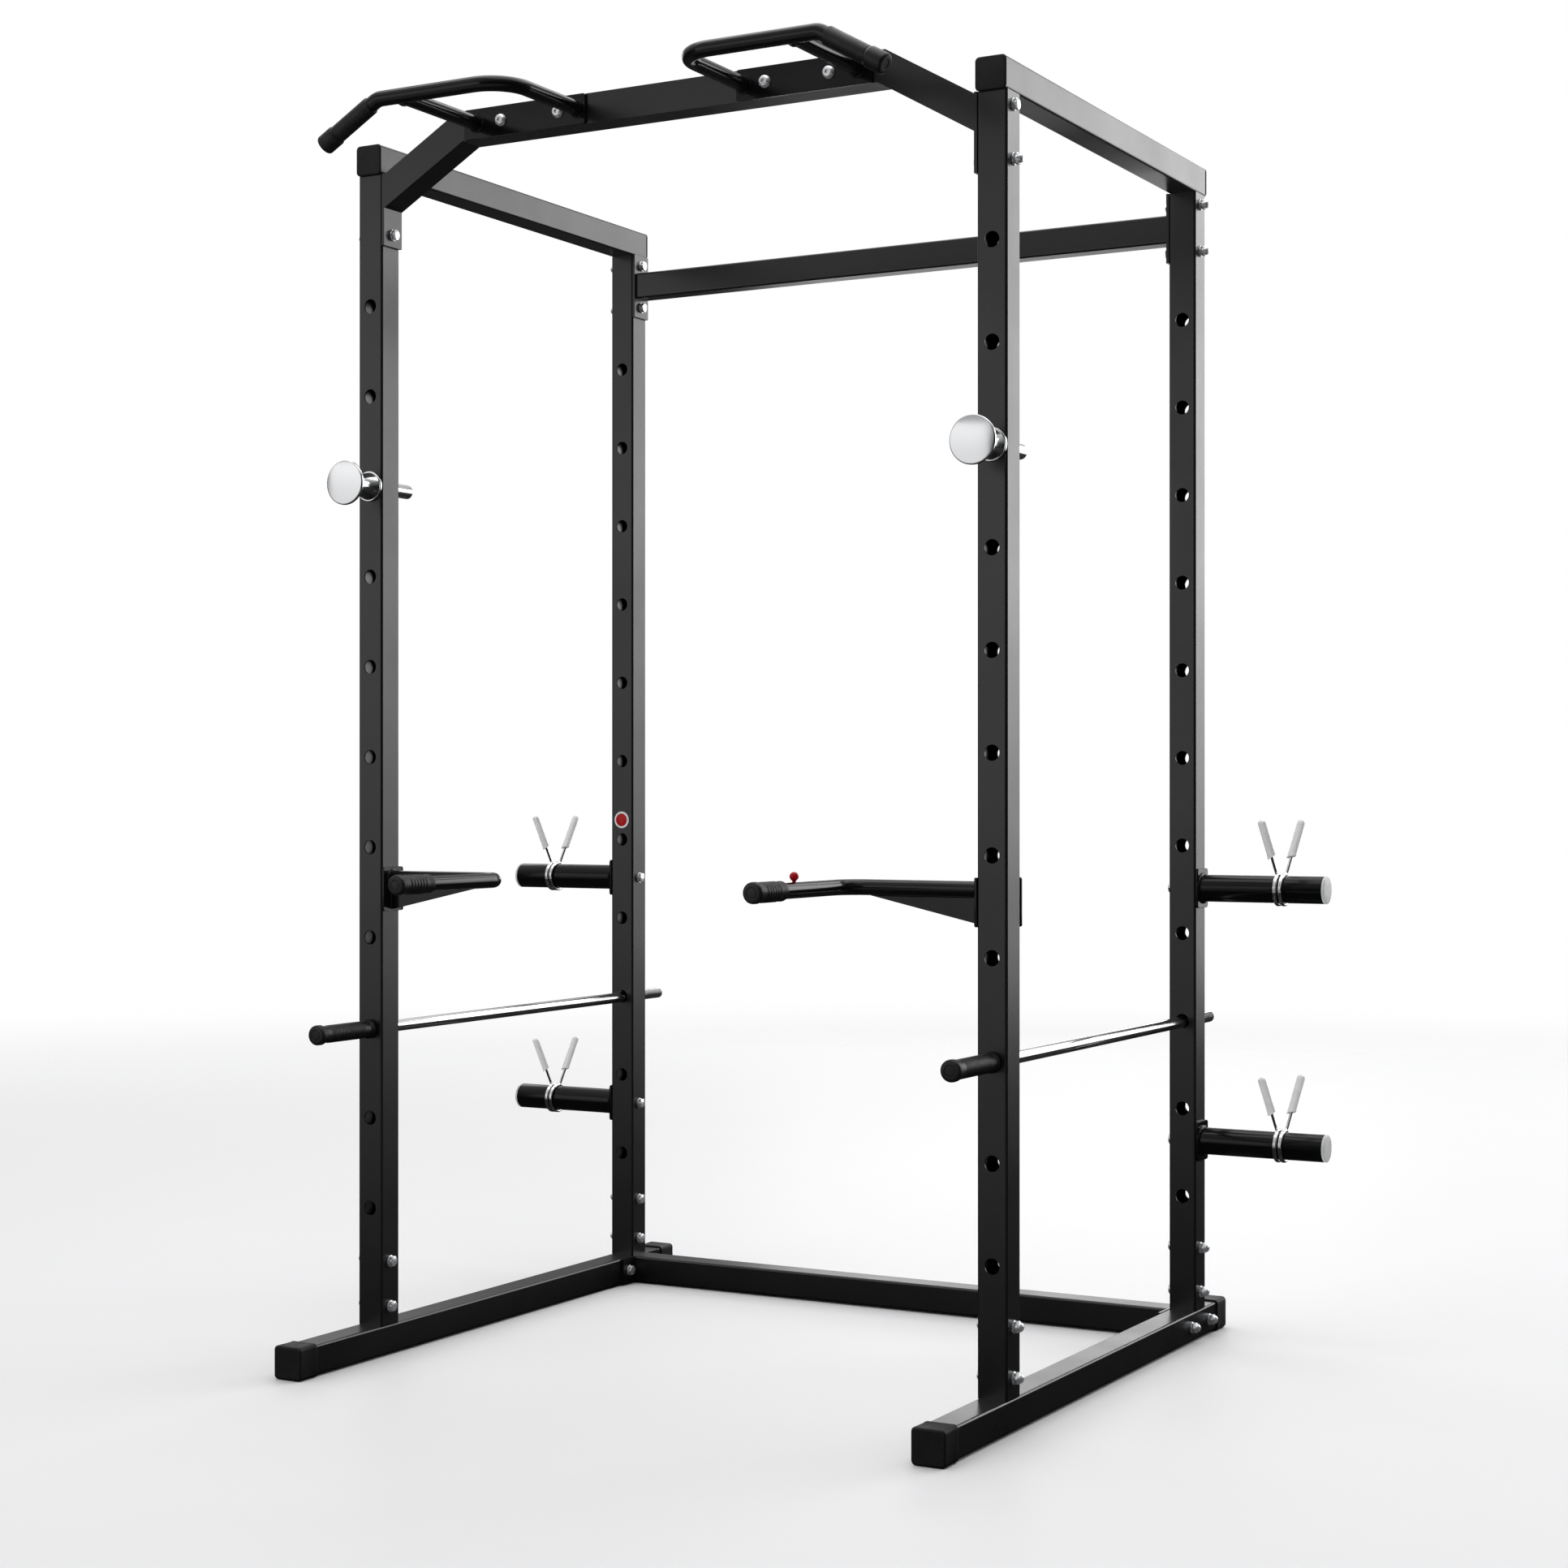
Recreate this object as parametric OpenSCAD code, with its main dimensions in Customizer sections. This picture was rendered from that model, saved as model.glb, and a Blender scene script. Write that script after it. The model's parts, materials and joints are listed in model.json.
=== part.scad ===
// Power cage: a bolted square-tube frame with pull-up grips, dip handles, bar holders,
// safety bars and weight storage pegs.
// X runs across the cage (right is +X), Y from front to back, Z up. The origin is on the
// floor, midway across and midway between the front and rear ends.

/* [Frame] */
// Width over the outer faces of the uprights
cage_w = 1230; // [1000:10:1500]
// Depth from the front face of the front uprights to the rear face of the rear ones
cage_d = 860; // [700:10:1100]
// Length over the dip handle tips and the rear base caps
overall_d = 1236; // [1180:2:1400]
// Distance that the base rails reach in front of the front uprights, caps included
base_front_reach = 222; // [150:1:260]
// Side of the square frame tube
tube = 50; // [45:1:60]
// Wall of the square frame tube
wall = 2.5; // [1.5:0.5:4]
// Outside corner radius of the square frame tube
corner_r = 4; // [3:0.5:6]
// Length of an upright
upright_len = 1990; // [1900:10:2200]
// Height of the joint posts inside the upright ends
post_h = 140; // [120:5:200]

/* [Adjustment holes] */
// Diameter of the holes that go through an upright from front to back
hole_d = 25; // [20:0.5:30]
// Spacing of the holes up an upright
hole_pitch = 156; // [120:1:160]
// Height of the lowest hole
first_hole_z = 256; // [220:1:300]
// Number of holes in an upright
hole_count = 11; // [8:1:11]

/* [Fasteners] */
// Diameter of the frame bolts
bolt_d = 10; // [8:1:12]
// Height of the upper frame bolt below the top of an upright
top_bolt_drop = 21; // [18:1:30]
// Spacing of the two bolts at each upright end
bolt_pair = 82; // [70:1:90]

/* [Pull-up station] */
// Height of the middle of the pull-up beam
beam_z = 2104; // [2080:1:2120]
// Distance from the cage's middle to the beam's bend, along its underside
beam_knee_x = 395; // [360:1:430]
// Angle by which the beam's ends drop
beam_drop = 30; // [20:1:35]
// Diameter of the pull-up grip tube
grip_tube_d = 25; // [20:1:28]
// Distance that the grip frame reaches in front of the beam
grip_reach = 215; // [150:1:220]
// Length of the slanted outer end of a grip frame
grip_slant_len = 125; // [110:1:140]

/* [Dip station] */
// Height of the dip handles
dip_z = 827; // [800:1:840]
// Distance that a dip handle reaches in from its upright
dip_in = 238; // [180:1:260]
// Diameter of the dip handle tube
dip_d = 25; // [22:1:30]

/* [Bar holders and safety bars] */
// Hole that carries the bar holders, counted from the lowest as 0
holder_hole = 8; // [5:1:9]
// Diameter of the bar holder's end disc
holder_disc_d = 76; // [60:1:90]
// Distance from the upright to the front of the end disc
holder_reach = 72; // [60:1:90]
// Hole that carries the safety bars, counted from the lowest as 0
safety_hole = 2; // [1:1:4]
// Diameter of a safety bar
safety_d = 20; // [16:1:22]
// Length of safety bar behind the rear upright
safety_tail = 88; // [60:1:98]
// Length of the rubber grip in front of the upright
safety_grip_len = 148; // [120:1:160]

/* [Weight storage] */
// Heights of the lower and the upper storage pegs
peg_heights = [354, 804];
// Diameter of a storage peg
peg_d = 48; // [46:1:49]
// Distance from the upright to the end of a peg
peg_reach = 235; // [200:5:300]
// Distance from the upright to the middle of the spring clip
clip_at = 150; // [120:1:160]
// Diameter of the spring clip wire
clip_wire = 5; // [4:0.5:6]

/* [Hidden] */
$fn = 48;
front_y = overall_d / 2 - 960;
rear_y = front_y + cage_d;
cap_wall = 3;
cap_slip = 0.1;
cap_len = 45;
rail_z = cap_wall;
deck_z = rail_z + tube;
upright_top = deck_z + upright_len;
post_x = cage_w / 2 - tube / 2;
inner_x = cage_w / 2 - tube;
outer_x = cage_w / 2;
upright_y = [front_y + tube / 2, rear_y - tube / 2];
base_front = front_y - base_front_reach;
base_rear = overall_d / 2;
plate_t = 5;
bolt_gap = 0.5;
base_bolts = [deck_z + 32, deck_z + 110];
top_bolts = [upright_top - top_bolt_drop - bolt_pair, upright_top - top_bolt_drop + 1];
top_plate_z = (top_bolts[0] + top_bolts[1]) / 2;
top_plate_h = 124;
rear_beam_depth = 40;
base_bolt_reach = 44;
grip_bolt_x = [197, 312];
grip_strut_x = [158, 362];
grip_corner_r = 60;
grip_slant_x = 408;
pull_sleeve_len = 112;
dip_bend_r = 42;
dip_grip_len = 90;
dip_knob_at = 131;
dip_screw_z = [dip_z - 30, dip_z + 6];
peg_wall = 2.5;
clip_r = peg_d / 2 + 0.4 + clip_wire / 2;
clip_half = clip_wire / 2 + 0.25;
clip_pitch = 4.6;
handle_len = 100;
handle_lean = 20;
handle_splay = 10;
sleeve_start = 33;
marker_z = 919;

function hole_z(i) = first_hole_z + hole_pitch * i;

// Mirrors what is drawn on the right-hand side, for side = -1.
module on_side(side) {
  if (side < 0) mirror([1, 0, 0]) children();
  else children();
}

// Square with round corners, centred on the origin.
module rounded_square(w, h, r) {
  square([w - 2 * r, h], center = true);
  square([w, h - 2 * r], center = true);
  for (x = [-1, 1], y = [-1, 1])
    translate([x * (w / 2 - r), y * (h / 2 - r)]) circle(r = r);
}

// Rectangular tube along +Z.
module box_tube(len, w = tube, h = tube) {
  linear_extrude(len) difference() {
    rounded_square(w, h, corner_r);
    rounded_square(w - 2 * wall, h - 2 * wall, corner_r - wall);
  }
}

// Cylinder along +X, +Y or -Y.
module rod_x(d, len) { rotate([0, 90, 0]) cylinder(d = d, h = len); }
module rod_y(d, len) { rotate([-90, 0, 0]) cylinder(d = d, h = len); }

// Dome along +X: the cap of a sphere that is w across and h high.
module dome_x(w, h) {
  r = (pow(w / 2, 2) + h * h) / (2 * h);
  rotate([0, 90, 0]) rotate_extrude() intersection() {
    translate([0, h - r]) circle(r = r, $fn = 96);
    square([w / 2, h]);
  }
}

// Bend of round bar in the XY plane, from angle 0 round the origin.
module bend(r, d, angle) { rotate_extrude(angle = angle) translate([r, 0]) circle(d = d); }

/* ---- frame ---- */

module base_rail(side) {
  color("#1d1d1e") on_side(side) difference() {
    translate([post_x, base_front + cap_wall, rail_z + tube / 2])
      rotate([-90, 0, 0]) box_tube(base_rear - base_front - 2 * cap_wall);
    for (s = [-1, 1])
      translate([inner_x - 1, upright_y[1] + s * base_bolt_reach, rail_z + tube / 2])
        rod_x(bolt_d + bolt_gap, tube + 2);
  }
}

module rear_base_crossmember() {
  color("#1d1d1e") {
    translate([-inner_x + plate_t, upright_y[1], rail_z + tube / 2])
      rotate([0, 90, 0]) box_tube(2 * (inner_x - plate_t));
    for (side = [-1, 1]) on_side(side) difference() {
      translate([inner_x - plate_t, upright_y[1] - 66, rail_z]) cube([plate_t, 132, tube]);
      for (s = [-1, 1])
        translate([inner_x - plate_t - 1, upright_y[1] + s * base_bolt_reach, rail_z + tube / 2])
          rod_x(bolt_d + bolt_gap, plate_t + 2);
    }
  }
}

// Square tube stub inside an upright end, drilled for the two bolts.
module joint_post(y, z, bolts) {
  difference() {
    translate([post_x, y, z]) box_tube(post_h, tube - 2 * wall - 0.6, tube - 2 * wall - 0.6);
    for (b = bolts) translate([inner_x, y, b]) rod_x(bolt_d + bolt_gap, tube);
  }
}

module base_joint_posts() {
  color("#2a2a2b") for (side = [-1, 1], y = upright_y)
    on_side(side) joint_post(y, deck_z, base_bolts);
}

module top_joint_posts() {
  color("#2a2a2b") for (side = [-1, 1], y = upright_y)
    on_side(side) joint_post(y, upright_top - post_h, top_bolts);
}

module upright(side, row) {
  y = upright_y[row];
  color("#202022") on_side(side) difference() {
    translate([post_x, y, deck_z]) box_tube(upright_len);
    for (i = [0 : hole_count - 1])
      translate([post_x, y - tube / 2 - 1, hole_z(i)]) rod_y(hole_d, tube + 2);
    for (z = concat(base_bolts, top_bolts, row == 1 ? peg_heights : []))
      translate([inner_x - 1, y, z]) rod_x(bolt_d + bolt_gap, tube + 2);
    if (row == 0)
      for (z = dip_screw_z) translate([post_x, y, z]) rod_y(8.4, tube);
    if (row == 1 && side < 0)
      translate([post_x, y - tube, marker_z]) rod_y(10.2, tube);
  }
}

module top_rail(side) {
  color("#202022") on_side(side)
    translate([post_x, front_y - cap_wall, upright_top + tube / 2])
      rotate([-90, 0, 0]) box_tube(cage_d + 2 * cap_wall);
}

// End plate on an upright's inner face, drilled for the two bolts.
module end_plate(y) {
  difference() {
    translate([inner_x - plate_t, y - tube / 2, top_plate_z - top_plate_h / 2])
      cube([plate_t, tube, top_plate_h]);
    for (z = top_bolts)
      translate([inner_x - plate_t - 1, y, z]) rod_x(bolt_d + bolt_gap, plate_t + 2);
  }
}

module rear_top_crossmember() {
  color("#202022") {
    translate([-inner_x + plate_t, upright_y[1], top_plate_z])
      rotate([0, 90, 0]) box_tube(2 * (inner_x - plate_t), tube, rear_beam_depth);
    for (side = [-1, 1]) on_side(side) end_plate(upright_y[1]);
  }
}

// Sleeve cap over the end of a base rail, its closed end at y = 0 and its mouth to +Y.
module base_end_cap() {
  w = tube + 2 * cap_wall;
  difference() {
    rotate([-90, 0, 0]) linear_extrude(cap_len) rounded_square(w, w, corner_r + cap_wall);
    translate([0, cap_wall, 0]) rotate([-90, 0, 0]) linear_extrude(cap_len)
      rounded_square(tube + 2 * cap_slip, tube + 2 * cap_slip, corner_r + cap_slip);
  }
}

module base_end_caps() {
  color("#131313") for (side = [-1, 1]) on_side(side) {
    translate([post_x, base_front, rail_z + tube / 2]) base_end_cap();
    translate([post_x, base_rear, rail_z + tube / 2]) mirror([0, 1, 0]) base_end_cap();
  }
}

// Plug for a top rail's end, its outer face at y = 0 and its stub to +Y.
module top_rail_cap() {
  rotate([-90, 0, 0]) {
    linear_extrude(cap_wall) rounded_square(tube + 2, tube + 2, corner_r + 1);
    translate([0, 0, cap_wall])
      linear_extrude(18) rounded_square(tube - 2 * wall - 0.4, tube - 2 * wall - 0.4, 1.5);
  }
}

module top_rail_caps() {
  color("#131313") for (side = [-1, 1]) on_side(side) {
    translate([post_x, front_y - 2 * cap_wall, upright_top + tube / 2]) top_rail_cap();
    translate([post_x, rear_y + 2 * cap_wall, upright_top + tube / 2])
      mirror([0, 1, 0]) top_rail_cap();
  }
}

/* ---- pull-up station ---- */

// Half of the beam's outline, drawn in by inset from the outer faces.
function beam_half(inset) = let(
    low = beam_z - tube / 2 + inset,
    high = beam_z + tube / 2 - inset,
    end_x = inner_x - plate_t,
    low_x = beam_knee_x + inset * tan(beam_drop / 2),
    high_x = beam_knee_x + (tube - inset) * tan(beam_drop / 2)
  ) [
    [low_x, low],
    [end_x, low - (end_x - low_x) * tan(beam_drop)],
    [end_x, high - (end_x - high_x) * tan(beam_drop)],
    [high_x, high]
  ];

module beam_solid(inset) {
  half = beam_half(inset);
  depth = tube - 2 * inset;
  translate([0, upright_y[0] + depth / 2, 0]) rotate([90, 0, 0]) linear_extrude(depth)
    polygon(concat(half, [for (i = [3 : -1 : 0]) [-half[i][0], half[i][1]]]));
}

module pull_up_beam() {
  color("#202022") {
    difference() {
      beam_solid(0);
      beam_solid(wall);
      for (side = [-1, 1], x = grip_bolt_x)
        translate([side * x, front_y - 1, beam_z]) rod_y(bolt_d + bolt_gap, tube + 2);
    }
    for (side = [-1, 1]) on_side(side) end_plate(upright_y[0]);
  }
}

// Round bar along the grip frame's path: inner strut, front bar and slanted end.
module grip_path(d) {
  y0 = front_y - plate_t + 1;
  yf = front_y - grip_reach;
  x0 = grip_strut_x[0];
  translate([x0, yf + grip_corner_r, beam_z]) rod_y(d, y0 - yf - grip_corner_r);
  translate([x0 + grip_corner_r, yf + grip_corner_r, beam_z])
    rotate([0, 0, 180]) bend(grip_corner_r, d, 90);
  translate([x0 + grip_corner_r, yf, beam_z])
    rod_x(d, grip_slant_x - x0 - grip_corner_r);
  grip_slant() sphere(d = d + 0.1);
  grip_slant() cylinder(d = d, h = grip_slant_len);
}

// Places what is drawn along +Z on the slanted end, from the corner of the front bar.
module grip_slant() {
  translate([grip_slant_x, front_y - grip_reach, beam_z])
    rotate([0, 90 + beam_drop, 0]) children();
}

module grip_bar(d) {
  grip_path(d);
  translate([grip_strut_x[1], front_y - grip_reach, beam_z]) rod_y(d, grip_reach - plate_t + 1);
}

module pull_up_grip(side) {
  plate_x0 = grip_strut_x[0] - 14;
  plate_x1 = grip_strut_x[1] + 26;
  color("#18181a") on_side(side) {
    difference() {
      grip_bar(grip_tube_d);
      grip_bar(grip_tube_d - 5);
    }
    difference() {
      translate([plate_x0, front_y - plate_t, beam_z - tube / 2])
        cube([plate_x1 - plate_x0, plate_t, tube]);
      for (x = grip_bolt_x)
        translate([x, front_y - plate_t - 1, beam_z]) rod_y(bolt_d + bolt_gap, plate_t + 2);
    }
  }
}

// Rubber sleeve with ribs and a closed round end, over the last part of a bar along +Z.
module sleeve(bar_d, len, d, end_d, ribs = 0, end_len = 16) {
  difference() {
    union() {
      cylinder(d = d, h = len);
      translate([0, 0, len - end_len + 3]) cylinder(d = end_d, h = end_len - 6);
      translate([0, 0, len - 3]) cylinder(d1 = end_d, d2 = end_d - 4, h = 3);
      translate([0, 0, len - end_len]) cylinder(d1 = d, d2 = end_d, h = 3);
      if (ribs > 0)
        for (i = [0 : ribs - 1])
          translate([0, 0, 6 + i * (len - end_len - 12) / ribs]) cylinder(d = d + 2.4, h = 3);
    }
    translate([0, 0, -1]) cylinder(d = bar_d + 0.1, h = len - 2);
  }
}

module pull_up_sleeve(side) {
  start = grip_slant_len + 3 - pull_sleeve_len;
  color("#101011") on_side(side) grip_slant()
    translate([0, 0, start]) sleeve(grip_tube_d, pull_sleeve_len, 29.5, 33, 0, 34);
}

/* ---- dip station ---- */

// Round bar along the dip handle's path: in from the upright, round the bend, then forward.
module dip_path(d, tip) {
  x0 = inner_x - dip_in;
  y0 = upright_y[0];
  translate([x0 + dip_bend_r, y0, dip_z]) rod_x(d, dip_in - dip_bend_r - plate_t);
  translate([x0 + dip_bend_r, y0 - dip_bend_r, dip_z])
    rotate([0, 0, 90]) bend(dip_bend_r, d, 90);
  translate([x0, tip, dip_z]) rod_y(d, y0 - dip_bend_r - tip);
}

module dip_arm(side) {
  tip = -overall_d / 2 + 3.2;
  y0 = upright_y[0];
  gusset_x = inner_x - plate_t - 190;
  plate_low = dip_z - 57;
  color("#161617") on_side(side) {
    difference() {
      dip_path(dip_d, tip);
      dip_path(dip_d - 5, tip);
    }
    translate([0, y0 + 4, 0]) rotate([90, 0, 0]) linear_extrude(8) polygon([
      [inner_x - plate_t, plate_low + 3],
      [inner_x - plate_t, dip_z - dip_d / 2 + 0.6],
      [gusset_x, dip_z - dip_d / 2 + 0.6]
    ]);
    translate([inner_x - plate_t, front_y, plate_low]) cube([plate_t, tube, 76]);
    difference() {
      translate([inner_x - plate_t, front_y + tube, plate_low])
        cube([tube + plate_t + 1, plate_t, 76]);
      for (z = dip_screw_z) translate([post_x, front_y + tube - 1, z]) rod_y(8.4, plate_t + 2);
    }
  }
}

module dip_grip(side) {
  color("#0e0e0f") on_side(side)
    translate([inner_x - dip_in, -overall_d / 2 + dip_grip_len, dip_z])
      rotate([90, 0, 0]) sleeve(dip_d, dip_grip_len, 30, 33, 9);
}

module dip_marker_knob() {
  stem = 4;
  color("#c01622")
    translate([inner_x - dip_in, -overall_d / 2 + dip_knob_at, dip_z]) {
      difference() {
        translate([0, 0, dip_d / 2 - 0.5]) cylinder(d = 6, h = stem);
        translate([0, -5, 0]) rod_y(dip_d + 0.1, 10);
      }
      translate([0, 0, dip_d / 2 + stem + 4.5]) sphere(d = 14);
    }
}

/* ---- bar holders and safety bars ---- */

module bar_holder(side) {
  disc_t = 6;
  flange_t = 5;
  gap = 0.4;
  groove = holder_reach - disc_t - flange_t - gap;
  spool_r = 24;
  waist = 5;
  arc_r = (pow(groove / 2, 2) + pow(waist, 2)) / (2 * waist);
  pin_d = hole_d - 1;
  pin_len = tube + 56;
  color("#e4e6e8") on_side(side)
    translate([post_x, front_y - gap, hole_z(holder_hole)]) rotate([90, 0, 0]) {
      cylinder(d = 2 * spool_r + 4, h = flange_t);
      translate([0, 0, flange_t]) rotate_extrude() difference() {
        square([spool_r, groove]);
        translate([spool_r - waist + arc_r, groove / 2]) circle(r = arc_r, $fn = 128);
      }
      translate([0, 0, flange_t + groove]) cylinder(d = holder_disc_d, h = disc_t - 1.5);
      translate([0, 0, flange_t + groove + disc_t - 1.5])
        cylinder(d1 = holder_disc_d, d2 = holder_disc_d - 3, h = 1.5);
      translate([0, 0, -pin_len]) cylinder(d = pin_d, h = pin_len);
      translate([0, 0, -pin_len - 3]) cylinder(d1 = pin_d - 5, d2 = pin_d, h = 3);
    }
}

function safety_z() = hole_z(safety_hole) - (hole_d - safety_d) / 2 + 0.4;

module safety_bar(side) {
  y0 = front_y - safety_grip_len + 4;
  y1 = rear_y + safety_tail;
  color("#dfe1e4") on_side(side) translate([post_x, y0, safety_z()]) {
    rod_y(safety_d, y1 - y0 - 3);
    translate([0, y1 - y0 - 3, 0]) rotate([-90, 0, 0])
      cylinder(d1 = safety_d, d2 = safety_d - 5, h = 3);
  }
}

module safety_grip(side) {
  color("#0e0e0f") on_side(side)
    translate([post_x, front_y - 0.6, safety_z()])
      rotate([90, 0, 0]) sleeve(safety_d, safety_grip_len, 29, 34, 8);
}

/* ---- weight storage ---- */

module storage_peg(side, level) {
  z = peg_heights[level];
  y = upright_y[1];
  color("#1a1a1b") on_side(side) {
    translate([outer_x + plate_t, y, z]) difference() {
      rod_x(peg_d, peg_reach - plate_t - 6);
      translate([-1, 0, 0]) rod_x(peg_d - 2 * peg_wall, peg_reach);
    }
    difference() {
      translate([outer_x, y - tube / 2, z - 35]) cube([plate_t, tube, 70]);
      translate([outer_x - 1, y, z]) rod_x(bolt_d + bolt_gap, plate_t + 2);
    }
  }
}

module peg_cap(side, level) {
  tip = outer_x + peg_reach - 6;
  bore = peg_d - 2 * peg_wall;
  color("#b9bbbd") on_side(side) translate([tip, upright_y[1], peg_heights[level]]) {
    translate([-16, 0, 0]) rod_x(bore - 0.4, 16);
    rod_x(peg_d, 4);
    translate([4, 0, 0]) dome_x(peg_d, 2);
  }
}

// Places a clip half: its two turns round the peg in the YZ plane, its handle leaning to lean.
// The clips are all alike, so the ones on the left aren't mirrored.
module clip_place(side, level, lean) {
  translate([side * (outer_x + clip_at) + lean * clip_half, upright_y[1], peg_heights[level]])
    children();
}

// Places what is drawn along +Z on a clip half's handle.
module clip_handle(lean) {
  translate([lean * clip_pitch, lean * 4, clip_r])
    rotate([-lean * handle_lean, lean * handle_splay, 0])
    children();
}

module clip_half_wire(side, level, lean) {
  color("#dfe1e4") clip_place(side, level, lean) {
    for (turn = [0, 1]) translate([lean * turn * clip_pitch, 0, 0])
      rotate([0, 90, 0]) rotate_extrude() translate([clip_r, 0]) circle(d = clip_wire, $fn = 24);
    clip_handle(lean) cylinder(d = clip_wire, h = handle_len, $fn = 24);
  }
}

module clip_half_sleeve(side, level, lean) {
  color("#d9d9d6") clip_place(side, level, lean) clip_handle(lean) difference() {
    translate([0, 0, sleeve_start]) cylinder(d = clip_wire + 4, h = handle_len - sleeve_start + 3);
    cylinder(d = clip_wire + 0.1, h = handle_len + 0.1);
  }
}

/* ---- fasteners ---- */

// Bolt along +X with its head's seat at x = 0: washer, hex head and shank.
module bolt(len) {
  translate([-2, 0, 0]) rod_x(20, 2);
  translate([-8.4, 0, 0]) rotate([0, 90, 0]) cylinder(d = 19.6, h = 6.4, $fn = 6);
  translate([-1, 0, 0]) rod_x(bolt_d, len + 1);
}

// The same with a wide round head that has a hexagon socket.
module socket_bolt(len) {
  translate([-2, 0, 0]) rod_x(20, 2);
  difference() {
    translate([-2, 0, 0]) mirror([1, 0, 0]) {
      rod_x(19, 3);
      translate([3, 0, 0]) dome_x(19, 3.4);
    }
    translate([-9, 0, 0]) rotate([0, 90, 0]) cylinder(d = 8, h = 4, $fn = 6);
  }
  translate([-1, 0, 0]) rod_x(bolt_d, len + 1);
}

// Washer and nut on the far face at x = 0, with a dome when closed is true.
module nut(closed) {
  difference() {
    union() {
      rod_x(20, 2);
      translate([2, 0, 0]) rotate([0, 90, 0]) cylinder(d = 19.6, h = 8, $fn = 6);
      if (closed) translate([10, 0, 0]) dome_x(15.6, 6.5);
    }
    translate([-10, 0, 0]) rod_x(bolt_d + 0.1, closed ? 20.5 : 21);
  }
}

module bolt_on(side, y, z, x = inner_x, len = tube) {
  on_side(side) translate([x, y, z]) bolt(len + 9);
}

module frame_bolts() {
  rear = upright_y[1];
  color("#c9ccd0") for (side = [-1, 1]) {
    for (y = upright_y, z = base_bolts) bolt_on(side, y, z);
    for (z = top_bolts) bolt_on(side, rear, z, inner_x - plate_t, tube + plate_t);
    bolt_on(side, upright_y[0], top_bolts[0], inner_x - plate_t, tube + plate_t);
    on_side(side) translate([outer_x, upright_y[0], top_bolts[1]])
      mirror([1, 0, 0]) bolt(tube + plate_t + 9);
    for (s = [-1, 1])
      bolt_on(side, rear + s * base_bolt_reach, rail_z + tube / 2,
        inner_x - plate_t, tube + plate_t);
    for (z = dip_screw_z)
      on_side(side) translate([post_x, front_y + tube + plate_t, z]) {
        rod_y(15, 3);
        translate([0, -13, 0]) rod_y(8, 14);
      }
  }
}

module frame_nuts() {
  rear = upright_y[1];
  color("#c9ccd0") for (side = [-1, 1]) on_side(side) {
    for (y = upright_y, z = base_bolts) translate([outer_x, y, z]) nut(true);
    for (z = top_bolts) translate([outer_x, rear, z]) nut(true);
    translate([outer_x, upright_y[0], top_bolts[0]]) nut(true);
    for (s = [-1, 1])
      translate([outer_x, rear + s * base_bolt_reach, rail_z + tube / 2]) nut(true);
    translate([inner_x - plate_t, upright_y[0], top_bolts[1]]) mirror([1, 0, 0]) nut(false);
  }
}

module grip_bolts() {
  color("#d4d6d9") for (side = [-1, 1], x = grip_bolt_x) on_side(side)
    translate([x, front_y - plate_t, beam_z]) rotate([0, 0, 90]) {
      socket_bolt(tube + plate_t + 9);
      translate([tube + plate_t, 0, 0]) nut(true);
    }
}

module peg_bolts() {
  color("#c9ccd0") for (side = [-1, 1], z = peg_heights) on_side(side)
    translate([inner_x, upright_y[1], z]) {
      bolt(tube + plate_t + 9);
      translate([tube + plate_t, 0, 0]) nut(false);
    }
}

module marker_plug() {
  color("#c01622") translate([-post_x, rear_y - tube, marker_z]) rotate([90, 0, 0]) {
    cylinder(d = 33, h = 2);
    translate([0, 0, 2]) cylinder(d1 = 25, d2 = 23, h = 1.5);
    translate([0, 0, -8]) cylinder(d = 10, h = 8);
  }
}

base_rail(-1);  // base_rail_left
base_rail(1);  // base_rail_right
rear_base_crossmember();
upright(-1, 0);  // upright_front_left
upright(1, 0);  // upright_front_right
upright(-1, 1);  // upright_rear_left
upright(1, 1);  // upright_rear_right
top_rail(-1);  // top_rail_left
top_rail(1);  // top_rail_right
rear_top_crossmember();
base_joint_posts();
top_joint_posts();
base_end_caps();
top_rail_caps();
pull_up_beam();
pull_up_grip(-1);  // pull_up_grip_left
pull_up_grip(1);  // pull_up_grip_right
pull_up_sleeve(-1);  // pull_up_sleeve_left
pull_up_sleeve(1);  // pull_up_sleeve_right
dip_arm(-1);  // dip_arm_left
dip_arm(1);  // dip_arm_right
dip_grip(-1);  // dip_grip_left
dip_grip(1);  // dip_grip_right
dip_marker_knob();
bar_holder(-1);  // bar_holder_left
bar_holder(1);  // bar_holder_right
safety_bar(-1);  // safety_bar_left
safety_bar(1);  // safety_bar_right
safety_grip(-1);  // safety_grip_left
safety_grip(1);  // safety_grip_right
storage_peg(-1, 0);  // storage_peg_lower_left
storage_peg(1, 0);  // storage_peg_lower_right
storage_peg(-1, 1);  // storage_peg_upper_left
storage_peg(1, 1);  // storage_peg_upper_right
peg_cap(-1, 0);  // peg_cap_lower_left
peg_cap(1, 0);  // peg_cap_lower_right
peg_cap(-1, 1);  // peg_cap_upper_left
peg_cap(1, 1);  // peg_cap_upper_right
clip_half_wire(-1, 0, 1);  // spring_clip_lower_left
clip_half_wire(1, 0, 1);  // spring_clip_lower_right
clip_half_wire(-1, 1, 1);  // spring_clip_upper_left
clip_half_wire(1, 1, 1);  // spring_clip_upper_right
clip_half_wire(-1, 0, -1);  // clip_lever_lower_left
clip_half_wire(1, 0, -1);  // clip_lever_lower_right
clip_half_wire(-1, 1, -1);  // clip_lever_upper_left
clip_half_wire(1, 1, -1);  // clip_lever_upper_right
clip_half_sleeve(-1, 0, 1);  // clip_sleeve_lower_left
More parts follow.
